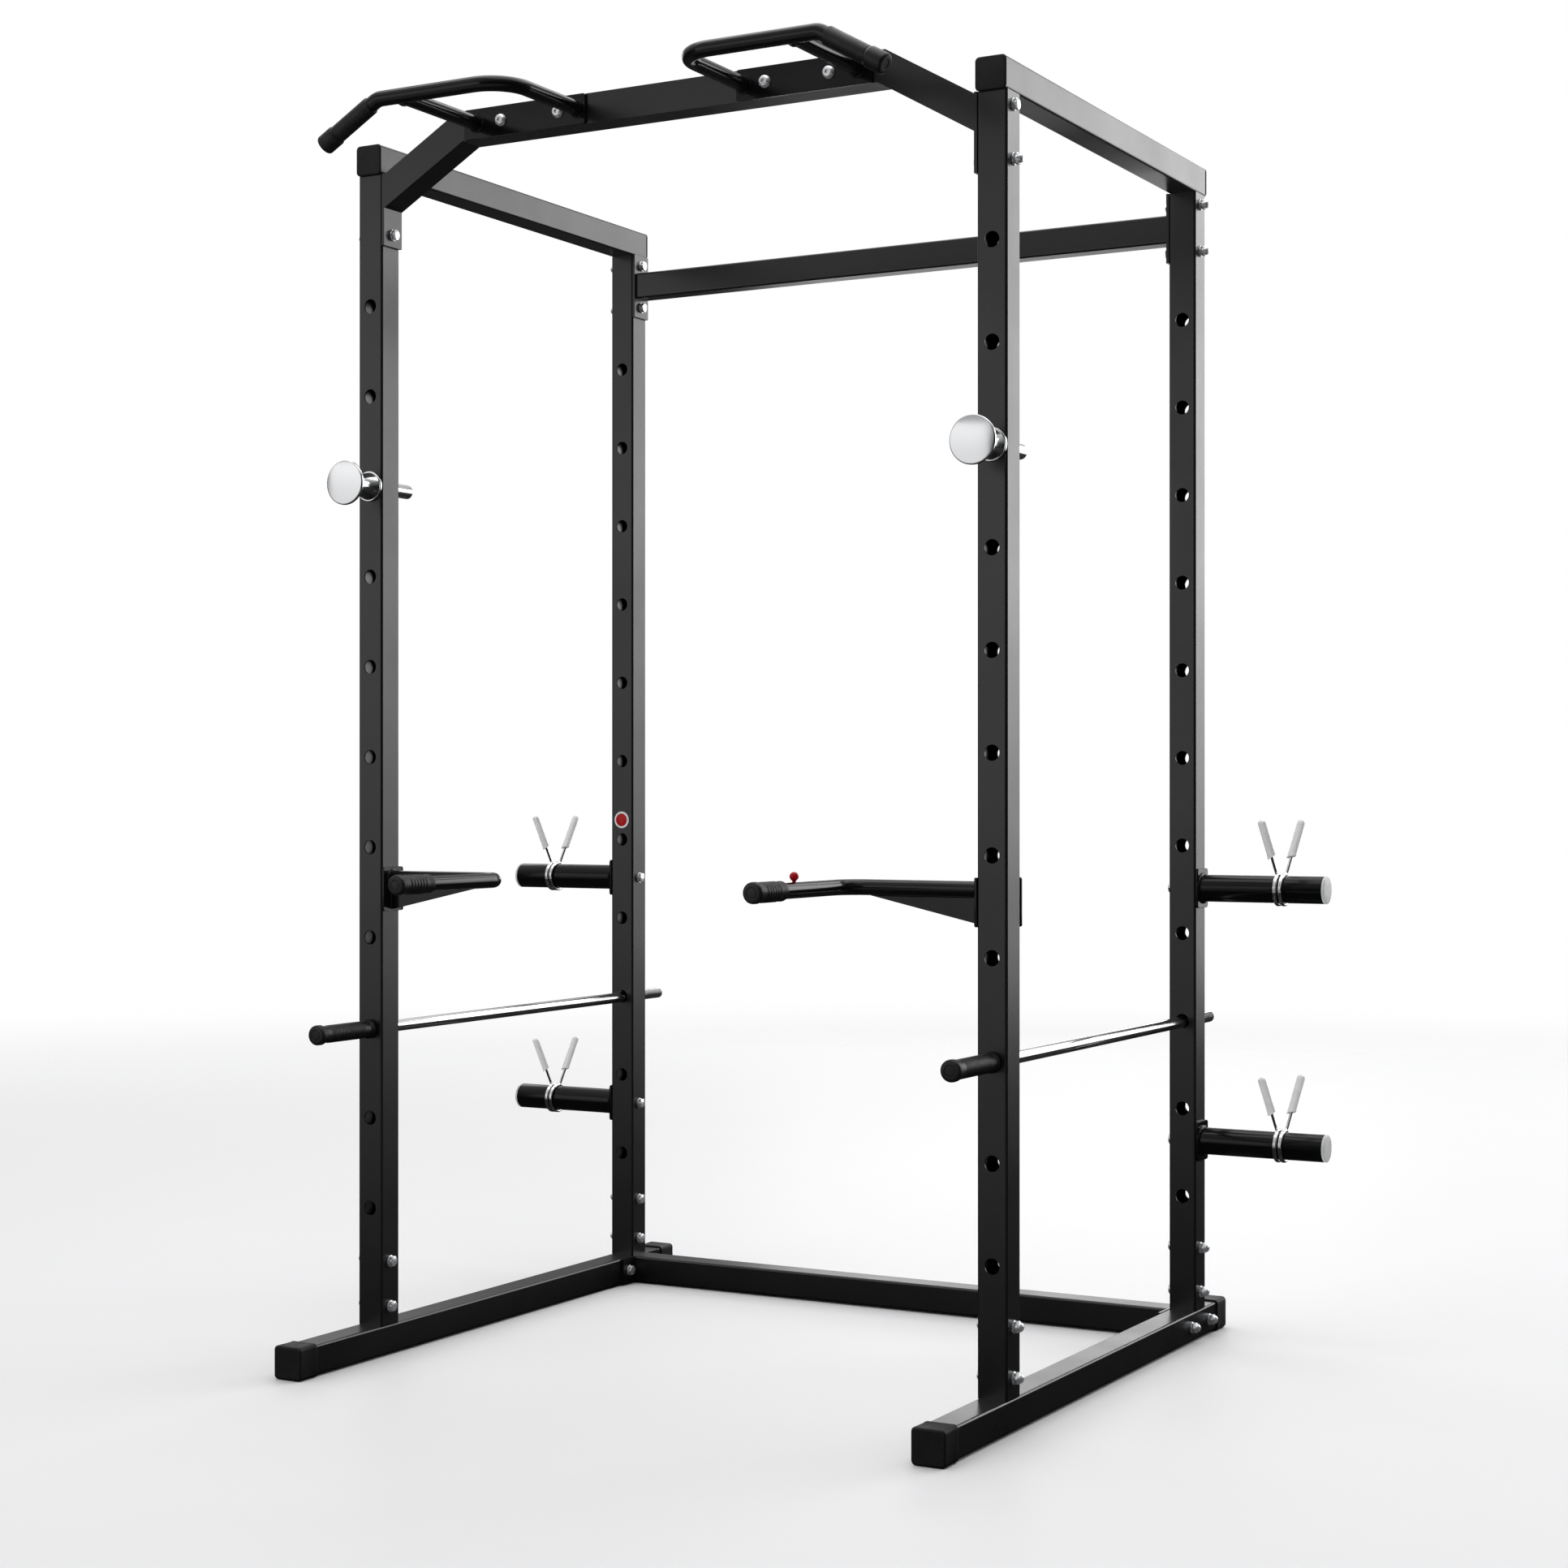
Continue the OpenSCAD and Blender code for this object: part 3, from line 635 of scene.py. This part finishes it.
def hex_bolt(shape, seat, axis, reach):
    """A bolt whose head stands on the seat, pointing along axis; its shank goes the other way."""
    matrix = along(seat, axis)
    washer(shape, matrix)
    hex_prism(shape, matrix, HEX_HEIGHT)
    tip = 1 * MM
    revolve(shape, [(0, -reach), (SHANK_R - tip, -reach), (SHANK_R, -reach + tip), (SHANK_R, 0),
                    (0, 0)], matrix, 24)


def nut(shape, seat, axis, domed):
    matrix = along(seat, axis)
    washer(shape, matrix)
    hex_prism(shape, matrix, NUT_HEIGHT)
    if domed:
        r, rise, sunk = 7.7 * MM, 6.5 * MM, 0.1 * MM
        start = WASHER_T + NUT_HEIGHT - sunk
        arc = [
            (r * math.cos(a), start + rise * math.sin(a))
            for a in (math.pi / 2 * k / 8 for k in range(8))
        ]
        revolve(shape, [(0, start), *arc, (0, start + rise)], matrix, 36)


def button_screw(shape, seat, axis, reach):
    """A small low round head with a socket."""
    r, rise, shank, socket, deep = 7.5 * MM, BUTTON_RISE, 4 * MM, 2.6 * MM, 2 * MM
    revolve(shape, [
        (0, -reach), (shank, -reach), (shank, 0), (r, 0), (r * 0.97, rise * 0.45),
        (r * 0.8, rise * 0.82), (r * 0.55, rise), (socket, rise), (socket, rise - deep),
        (0, rise - deep)], along(seat, axis), 36)


def socket_bolt(shape, seat, axis, reach):
    """A wide round bright head with a socket, on a washer."""
    matrix = along(seat, axis)
    washer(shape, matrix)
    r, top, socket, deep = 9.6 * MM, HEAD - 0.6 * MM, 3.6 * MM, 3.4 * MM
    revolve(shape, soft([
        (0, -reach), (SHANK_R, -reach), (SHANK_R, WASHER_T), (r, WASHER_T),
        (r, top * 0.62, 1.6 * MM), (r * 0.72, top, 2.5 * MM), (socket, top, 0.4 * MM),
        (socket * 0.94, top - deep), (0, top - deep)]), matrix, 48)


def frame_bolt(shape, low, high):
    """A dip bracket's screw points back, the beam's bolts point out and all others point in."""
    mid, size = (low + high) / 2, high - low
    sign, near, far = span_x(low, high)
    if size.y > size.x:
        button_screw(shape, (mid.x, high.y - BUTTON_RISE, mid.z), (0, 1, 0), size.y - BUTTON_RISE)
    elif mid.z > BEAM_LEVEL and mid.y < 0:
        hex_bolt(shape, (sign * (far - HEAD), mid.y, mid.z), (sign, 0, 0), size.x - HEAD)
    else:
        hex_bolt(shape, (sign * (near + HEAD), mid.y, mid.z), (-sign, 0, 0), size.x - HEAD)


def frame_nut(shape, low, high):
    """A domed nut outside the frame, or an open one inside the pull-up beam's end."""
    mid = (low + high) / 2
    sign, near, far = span_x(low, high)
    if far - near > LONGEST_OPEN_NUT:
        nut(shape, (sign * near, mid.y, mid.z), (sign, 0, 0), True)
    else:
        nut(shape, (sign * far, mid.y, mid.z), (-sign, 0, 0), False)


def peg_bolt(shape, low, high):
    """A bolt through the upright into a peg, or the open nut inside the peg."""
    mid, size = (low + high) / 2, high - low
    sign, near, _ = span_x(low, high)
    if size.x > LONGEST_NUT:
        hex_bolt(shape, (sign * (near + HEAD), mid.y, mid.z), (-sign, 0, 0), size.x - HEAD)
    else:
        nut(shape, (sign * near, mid.y, mid.z), (sign, 0, 0), False)


def grip_bolt(shape, low, high):
    """A bolt through a pull-up grip's plate and the beam, or the domed nut behind."""
    mid, size = (low + high) / 2, high - low
    if size.y > LONGEST_NUT:
        socket_bolt(shape, (mid.x, low.y + HEAD, mid.z), (0, -1, 0), size.y - HEAD)
    else:
        nut(shape, (mid.x, low.y, mid.z), (0, 1, 0), True)


def fasteners():
    """Puts a detailed fastener where each CAD one is: its box tells its place and direction."""
    for node, make in (("frame_bolts", frame_bolt), ("frame_nuts", frame_nut),
                       ("peg_bolts", peg_bolt), ("grip_bolts", grip_bolt)):
        shape = Shape()
        for low, high in islands(node):
            make(shape, low, high)
        shape.finish(node + "_zinc", "zinc_plate", node)


# ---------------------------------------------------------------- chrome parts

def bar_holder(side):
    """Pin, flange, waisted spool and end disc, turned in one piece."""
    node = "bar_holder_" + side
    low, high, mid = box_of(node)
    deep = high.y - low.y
    disc, spool, flange, pin = (high.x - low.x) / 2, 24 * MM, 26 * MM, 12 * MM
    disc_t, flange_t, waist, head = 6 * MM, 5 * MM, 5 * MM, 71.6 * MM
    flange_at = deep - head
    groove_a, groove_b = flange_at + flange_t, deep - disc_t
    groove = []
    for k in range(1, 16):
        t = k / 16
        groove.append((spool - waist * math.sin(math.pi * t) ** 0.9,
                       groove_a + (groove_b - groove_a) * t))
    turned(node, "chrome_plate", soft([
        (0, 0), (pin - 2.5 * MM, 0), (pin, 3 * MM), (pin, flange_at),
        (flange, flange_at, 0.8 * MM), (flange, groove_a, 0.8 * MM), (spool, groove_a),
        *groove, (spool, groove_b), (disc, groove_b, 1.2 * MM), (disc, deep, 2.2 * MM),
        (0, deep)]),
        along((mid.x, high.y, mid.z), (0, -1, 0)), 96, node, "chrome_satin")


def safety_bar(side):
    """A straight bar with softened ends."""
    node = "safety_bar_" + side
    low, high, mid = box_of(node)
    r, reach = (high.x - low.x) / 2, high.y - low.y
    turned(node, "chrome_plate", soft([
        (0, 0), (r, 0, 1 * MM), (r, reach * 0.5), (r, reach, 2.4 * MM), (0, reach)]),
        along((mid.x, low.y, mid.z), (0, 1, 0)), 48, node)


# ---------------------------------------------------------------- rubber grips

def ribbed(start, end, r, rise, pitch):
    """Profile points of round-topped rings between two heights."""
    count = max(1, round((end - start) / pitch))
    step = (end - start) / count
    points = []
    for i in range(count):
        h = start + i * step
        for t, lift in ((0.0, 0.0), (0.18, 0.62), (0.4, 1.0), (0.62, 0.62), (0.8, 0.0)):
            points.append((r + rise * lift, h + step * t))
    return points


def rubber_grip(node, body, r, collar_r, plain, pitch, rise):
    """A moulded grip that points forward: collar, body with rings, and a wider end with a
    ringed round face. plain is how much of each end has no rings."""
    low, high, mid = box_of(node)
    reach, end_r = high.y - low.y, (high.x - low.x) / 2
    first, last = plain[0], reach - plain[1]
    profile = [
        (0, 0), (collar_r, 0, 3 * MM), (collar_r, 7 * MM, 3 * MM), (r, 14 * MM, 4 * MM),
        (r, first - 1 * MM), *ribbed(first, last, r, rise, pitch),
        (r, last + 1 * MM), (r, reach - 16 * MM, 3 * MM), (end_r, reach - 12.5 * MM, 3 * MM),
        (end_r, reach - 1 * MM, 5.5 * MM), (end_r * 0.55, reach, 0.6 * MM),
        (end_r * 0.52, reach - 0.8 * MM), (end_r * 0.46, reach - 0.8 * MM),
        (end_r * 0.43, reach, 0.5 * MM), (0, reach),
    ]
    turned(node, "grip_rubber", soft(profile, 4),
           along((mid.x, high.y, mid.z), (0, -1, 0)), 72, body)


def dip_grip(side):
    rubber_grip("dip_grip_" + side, BODY, 15 * MM, 15.6 * MM, (20 * MM, 24 * MM),
                7.4 * MM, 0.9 * MM)


def safety_grip(side):
    rubber_grip("safety_grip_" + side, "safety_bar_" + side, 14.5 * MM, 16.6 * MM,
                (30 * MM, 30 * MM), 4.4 * MM, 0.6 * MM)


# ---------------------------------------------------------------- pull-up station

GRIP_DROP = math.radians(30.0)       # how far the grips' outer ends slant down
STRUT_X = (158 * MM, 362 * MM)       # the middles of the inner and outer struts
SLANT_X, SLANT_LEN = 408 * MM, 125 * MM
SLEEVE_LEN = 112 * MM


def grip_lines():
    """Places of the pull-up grips that the CAD's boxes give: plate's back, front bar, height."""
    low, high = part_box("pull_up_grip_right")
    return high.y, low.y + BENT_R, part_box("pull_up_beam")[1].z - PLATE_W / 2


def slant(side):
    """The direction of a grip's slanted end."""
    return Vector((SIDES[side] * math.cos(GRIP_DROP), 0.0, -math.sin(GRIP_DROP)))


def pull_up_grip(side):
    """Bent bar, outer strut, mount plate with round corners and the welds between them."""
    sign, node, r = SIDES[side], "pull_up_grip_" + side, BENT_R
    back, front, z = grip_lines()
    face, bead = back - PLATE_T, r + BEAD_OFF
    (inner, outer), corner = (sign * x for x in STRUT_X), Vector((sign * SLANT_X, front, z))
    shape = Shape()
    sweep(shape, fillet([
        (inner, face + LAP, z), (inner, front, z), corner, corner + slant(side) * SLANT_LEN],
        [0, 60 * MM, 30 * MM, 0], 16), r, 32)
    sweep(shape, [(outer, face + LAP, z), (outer, front, z)], r, 32)
    ends = inner - sign * 14 * MM, outer + sign * 26 * MM
    mount_plate(shape, abs(ends[1] - ends[0]), PLATE_W, 4 * MM,
                facing_y(sum(ends) / 2, face + PLATE_T / 2, z))
    for x in (inner, outer):
        weld(shape, circle_path((x, face - 0.4 * MM, z), (0, 1, 0), bead), 2.4 * MM)
    ring = r + 0.6 * MM              # saddles the front bar where the outer strut meets it
    weld(shape, [
        (outer + ring * math.cos(a), front + r * abs(math.sin(a)) * 0.9, z + ring * math.sin(a))
        for a in turns(40)], 2.0 * MM)
    shape.finish(node + "_bent", "grip_paint", node)


def pull_up_sleeve(side):
    """Smooth rubber sleeve with a wider round end, a seam and a step."""
    _, front, z = grip_lines()
    past_end = 3 * MM
    start = Vector((SIDES[side] * SLANT_X, front, z))
    start += slant(side) * (SLANT_LEN + past_end - SLEEVE_LEN)
    reach, r, seam, end_r, hollow = SLEEVE_LEN, 14.75 * MM, 14.3 * MM, 16.5 * MM, 0.9 * MM
    turned("pull_up_sleeve_" + side, "grip_rubber", soft([
        (0, 0), (r, 0, 1.2 * MM), (r, reach - 36 * MM, 1 * MM),
        (seam, reach - 35 * MM), (seam, reach - 34 * MM),
        (end_r, reach - 30 * MM, 3 * MM), (end_r, reach, 7 * MM),
        (7 * MM, reach, 1 * MM), (6.4 * MM, reach - hollow), (0, reach - hollow)], 5),
        along(start, slant(side)), 64)


# ---------------------------------------------------------------- dip station

BRACKET_H, BRACKET_BACK_W = 76 * MM, 56 * MM
BRACKET_DROP = 57 * MM               # from the arm's middle to the bracket's lower edge
BRACKET_CORNER = 3 * MM
GUSSET_REACH, GUSSET_HALF = 190 * MM, 4 * MM
DIP_BEND = 42 * MM


def dip_arm(side):
    """Bent bar, gusset, the two bracket plates and their welds."""
    sign, node, r = SIDES[side], "dip_arm_" + side, BENT_R
    grip_low, _, grip = box_of("dip_grip_" + side)
    post_low, post_high, post = box_of("upright_front_" + side)
    y, z, across = post.y, grip.z, grip.x
    face = min(abs(post_low.x), abs(post_high.x)) - PLATE_T
    shape = Shape()
    sweep(shape, fillet([
        (sign * (face + LAP), y, z), (across, y, z), (across, grip_low.y + 4 * MM, z)],
        DIP_BEND, 18), r, 36)
    bottom, toe, under = z - BRACKET_DROP, face - GUSSET_REACH, z - r + 0.8 * MM
    shape.loft([
        [Vector((sign * x, y + half, up)) for x, up in (
            (face, under), (toe, under), (toe + 4 * MM, under - 1.2 * MM),
            (face, bottom + 3 * MM))]
        for half in (-GUSSET_HALF, GUSSET_HALF)
    ])
    mount_plate(shape, PLATE_W, BRACKET_H, BRACKET_CORNER,
                facing_x(sign * (face + PLATE_T / 2), y, bottom + BRACKET_H / 2))
    mount_plate(shape, BRACKET_BACK_W, BRACKET_H, BRACKET_CORNER,
                facing_y(sign * (face + BRACKET_BACK_W / 2), post_high.y + PLATE_T / 2,
                         bottom + BRACKET_H / 2))
    bead = r + BEAD_OFF
    weld(shape, circle_path((sign * (face - 0.5 * MM), y, z), (1, 0, 0), bead), 2.6 * MM)
    beside = GUSSET_HALF + 0.4 * MM
    for edge in (y - beside, y + beside):
        top, wall = z - r + 0.9 * MM, sign * (face - 0.3 * MM)
        weld(shape, [(sign * (toe + 14 * MM), edge, top), (sign * (face - 12 * MM), edge, top)],
             1.8 * MM, closed=False)
        weld(shape, [(wall, edge, z - r - 3 * MM), (wall, edge, bottom + 6 * MM)],
             2 * MM, closed=False)
    shape.finish(node + "_bent", "grip_paint", node)


def marker_knob():
    """A red ball on a short stalk."""
    node = "dip_marker_knob"
    low, high, mid = box_of(node)
    r, stalk, sunk = (high.x - low.x) / 2, 3 * MM, 1 * MM
    ball = high.z - low.z - r
    first, last = 26.0, 176.0
    arc = [(r * math.sin(a), ball - r * math.cos(a)) for a in
           (math.radians(first + (last - first) * k / 18) for k in range(19))]
    turned(node, "marker_red", [
        (0, -sunk), (stalk, -sunk), (stalk, arc[0][1] - 0.6 * MM), *arc, (0, ball + r)],
        along((mid.x, mid.y, low.z), (0, 0, 1)), 40)


# ---------------------------------------------------------------- storage pegs and clips

PEG_R = 24 * MM
CLIP_X = 765 * MM                    # the middle of a clip, from X=0
CLIP_HALF = 2.75 * MM                # half the gap between the two halves
CLIP_PITCH = 4.6 * MM                # how far a half's two turns run along the peg
CLIP_R = 26.9 * MM
CLIP_FIRST, CLIP_LAST = math.radians(62), math.radians(-622)
WIRE_R = 2.5 * MM
HANDLE_LEN = 100 * MM
HANDLE_LEAN, HANDLE_SPLAY = math.radians(20.0), math.radians(10.0)
HANDLE_OFF = 4 * MM                  # from above the peg's axis to the handle's start
VINYL_START, VINYL_PAST = 33 * MM, 3 * MM


def storage_peg(level, side):
    """Round peg welded to a flange with round corners."""
    node = f"storage_peg_{level}_{side}"
    low, high, mid = box_of(node)
    sign, near, far = span_x(low, high)
    y, z, reach = mid.y, mid.z, far - near
    shape = Shape()
    revolve(shape, soft([(0, 0), (PEG_R, 0), (PEG_R, reach * 0.5), (PEG_R, reach, 0.5 * MM),
                         (0, reach)]), along((sign * near, y, z), (sign, 0, 0)), 72)
    mount_plate(shape, high.y - low.y, high.z - low.z, 5 * MM,
                facing_x(sign * (near + PLATE_T / 2), y, z))
    weld(shape, circle_path((sign * (near + PLATE_T + 0.5 * MM), y, z), (1, 0, 0),
                            PEG_R + BEAD_OFF), 3.0 * MM, 4 * MM)
    shape.finish(node + "_welded", "peg_paint", node)


def peg_cap(level, side):
    """A domed grey plug with a rim as wide as the peg."""
    node = f"peg_cap_{level}_{side}"
    low, high, _ = box_of(node)
    axis = box_of(f"storage_peg_{level}_{side}")[2]
    sign, near, far = span_x(low, high)
    rim, inner, deep, r = 16 * MM, 21 * MM, far - near, PEG_R
    turned(node, "peg_cap_plastic", soft([
        (0, 0), (inner, 0, 1 * MM), (inner, rim), (r, rim, 0.3 * MM),
        (r, rim + 4 * MM, 1.2 * MM), (r * 0.86, rim + 5 * MM, 6 * MM),
        (r * 0.5, deep, 12 * MM), (0, deep)], 5),
        along((sign * near, axis.y, axis.z), (sign, 0, 0)), 72)


def clip_root(axis, side, lean):
    """Start of a clip half's handle, and the handle's direction. The clips are all alike."""
    x = SIDES[side] * CLIP_X + lean * (CLIP_HALF + CLIP_PITCH)
    splay = Matrix.Rotation(lean * HANDLE_SPLAY, 3, "Y")
    tilt = Matrix.Rotation(-lean * HANDLE_LEAN, 3, "X")
    return (Vector((x, axis.y + lean * HANDLE_OFF, axis.z + CLIP_R)),
            splay @ tilt @ Vector((0.0, 0.0, 1.0)))


def clip_wire(name, axis, side, lean):
    """Two turns of wire round the peg that bend up into their handle."""
    root, way = clip_root(axis, side, lean)
    points, steps = [], 116
    for k in range(steps + 1):
        a = CLIP_FIRST + (CLIP_LAST - CLIP_FIRST) * k / steps
        points.append(Vector((root.x - lean * CLIP_PITCH * (1 - k / steps),
                              axis.y + lean * CLIP_R * math.cos(a),
                              axis.z + CLIP_R * math.sin(a))))
    bend = fillet([points[-1], root, root + way * HANDLE_LEN], 9 * MM, 8)
    shape = Shape()
    sweep(shape, points + bend[1:], WIRE_R, 20)
    shape.finish(name + "_wire", "chrome_plate", name, name)


def vinyl_sleeve(name, axis, side, lean, body):
    """A dipped sleeve on a handle: flattened, round at the tip, cut on a slant at its mouth."""
    root, way = clip_root(axis, side, lean)
    across = Vector((1.0, 0.0, 0.0))
    across = (across - way * across.dot(way)).normalized()
    over = way.cross(across)
    reach = HANDLE_LEN + VINYL_PAST - VINYL_START
    steps, wide, deep, tip_len, slant_cut = 26, 7.2 * MM, 5.0 * MM, 6 * MM, 3.5 * MM
    rings = []
    for k in range(steps + 1):
        t = k / steps
        left = (1 - t) * reach
        tip = math.sqrt(max(0.02, 1 - max(0.0, 1 - left / tip_len) ** 2))
        size = tip * (1.0 + 0.10 * math.exp(-t * 14))
        ring = []
        for a in turns(28):
            cut = slant_cut * (1 - t) ** 6 * math.cos(a)
            ring.append(root + way * (VINYL_START + t * reach + cut)
                        + across * (math.cos(a) * wide * size)
                        + over * (math.sin(a) * deep * size))
        rings.append(ring)
    shape = Shape()
    shape.loft(rings)
    shape.finish(name + "_vinyl", "clip_vinyl", name, body)


def spring_clip(level, side):
    """The clip's two halves, each with its sleeve. Each leans to its own side of the peg."""
    axis = box_of(f"storage_peg_{level}_{side}")[2]
    clip, lever = f"spring_clip_{level}_{side}", f"clip_lever_{level}_{side}"
    lean = 1 if box_of(clip)[2].y > axis.y else -1
    clip_wire(clip, axis, side, lean)
    vinyl_sleeve(f"clip_sleeve_{level}_{side}", axis, side, lean, clip)
    clip_wire(lever, axis, side, -lean)
    vinyl_sleeve(f"lever_sleeve_{level}_{side}", axis, side, -lean, lever)


# ---------------------------------------------------------------- caps and marker plug

CAP_CORNER, LEAST_CORNER = 7 * MM, 1.2 * MM
NOSE_R = 3.2 * MM                    # the rounding of a base cap's front edge


def square_caps(node, stations_of):
    """A moulded cap for each CAD one. Its stations go along Y from its outer face, each with
    the distance from that face and the inset from the cap's full width."""
    shape = Shape()
    for low, high in islands(node):
        mid, full = (low + high) / 2, high.x - low.x
        face, sign = (low.y, 1) if mid.y < 0 else (high.y, -1)
        rings = []
        for depth, inset in stations_of(high.y - low.y):
            width = full - 2 * inset
            corner = max(LEAST_CORNER, CAP_CORNER - inset * 0.6)
            rings.append([Vector((mid.x + p[0], face + sign * depth, mid.z + p[1]))
                          for p in rounded_outline(width, width, corner)])
        shape.loft(rings)
    shape.finish(node + "_moulded", "cap_plastic", node)


def base_cap_stations(deep):
    """A sleeve with a round nose, and a thin bead round its open end."""
    nose = [(NOSE_R * (1 - math.sin(a)), NOSE_R * (1 - math.cos(a)))
            for a in (math.pi / 2 * (1 - k / 6) for k in range(7))]
    return [(0.4 * MM, 8 * MM), *nose, (deep - 6.5 * MM, 0.5 * MM), (deep - 5.5 * MM, 0),
            (deep - 1 * MM, 0), (deep, 0.8 * MM), (deep, 3.0 * MM)]


def top_cap_stations(_):
    """A thin plate over the tube's end, and the plug behind it."""
    return [(0, 2.4 * MM), (0.5 * MM, 1.0 * MM), (1.2 * MM, 0.3 * MM), (2.2 * MM, 0),
            (3 * MM, 0), (3 * MM, 3.7 * MM), (20 * MM, 3.9 * MM), (21 * MM, 5 * MM)]


def marker_plug():
    """A white ring round a red lens."""
    node = "marker_plug"
    low, high, mid = box_of(node)
    r, stem, sunk = (high.x - low.x) / 2, 5 * MM, 8 * MM
    rim, lens, proud = 2 * MM, 1 * MM, 3.5 * MM
    matrix = along((mid.x, low.y + proud, mid.z), (0, -1, 0))
    shape = Shape()
    shape.slot = 1
    revolve(shape, soft([
        (0, -sunk), (stem, -sunk), (stem, 0), (r, 0, 0.3 * MM), (r, rim, 1 * MM),
        (13 * MM, rim, 0.4 * MM), (12.8 * MM, 1.2 * MM), (0, 1.2 * MM)]), matrix, 56)
    shape.slot = 0
    revolve(shape, soft([
        (0, lens), (12.4 * MM, lens), (12.2 * MM, 2.4 * MM, 0.8 * MM),
        (7 * MM, 3.4 * MM, 6 * MM), (0, proud)], 5), matrix, 56)
    shape.finish(node + "_lens", "marker_red", node, looks=("marker_red", "marker_white"))


make_camera()
material = make_materials()
make_floor()
make_world()
make_lights()
paint_cad_nodes()

fasteners()
square_caps("base_end_caps", base_cap_stations)
square_caps("top_rail_caps", top_cap_stations)
marker_plug()
marker_knob()
for side in SIDES:
    bar_holder(side)
    safety_bar(side)
    safety_grip(side)
    dip_grip(side)
    dip_arm(side)
    pull_up_grip(side)
    pull_up_sleeve(side)
    for level in LEVELS:
        storage_peg(level, side)
        peg_cap(level, side)
        spring_clip(level, side)
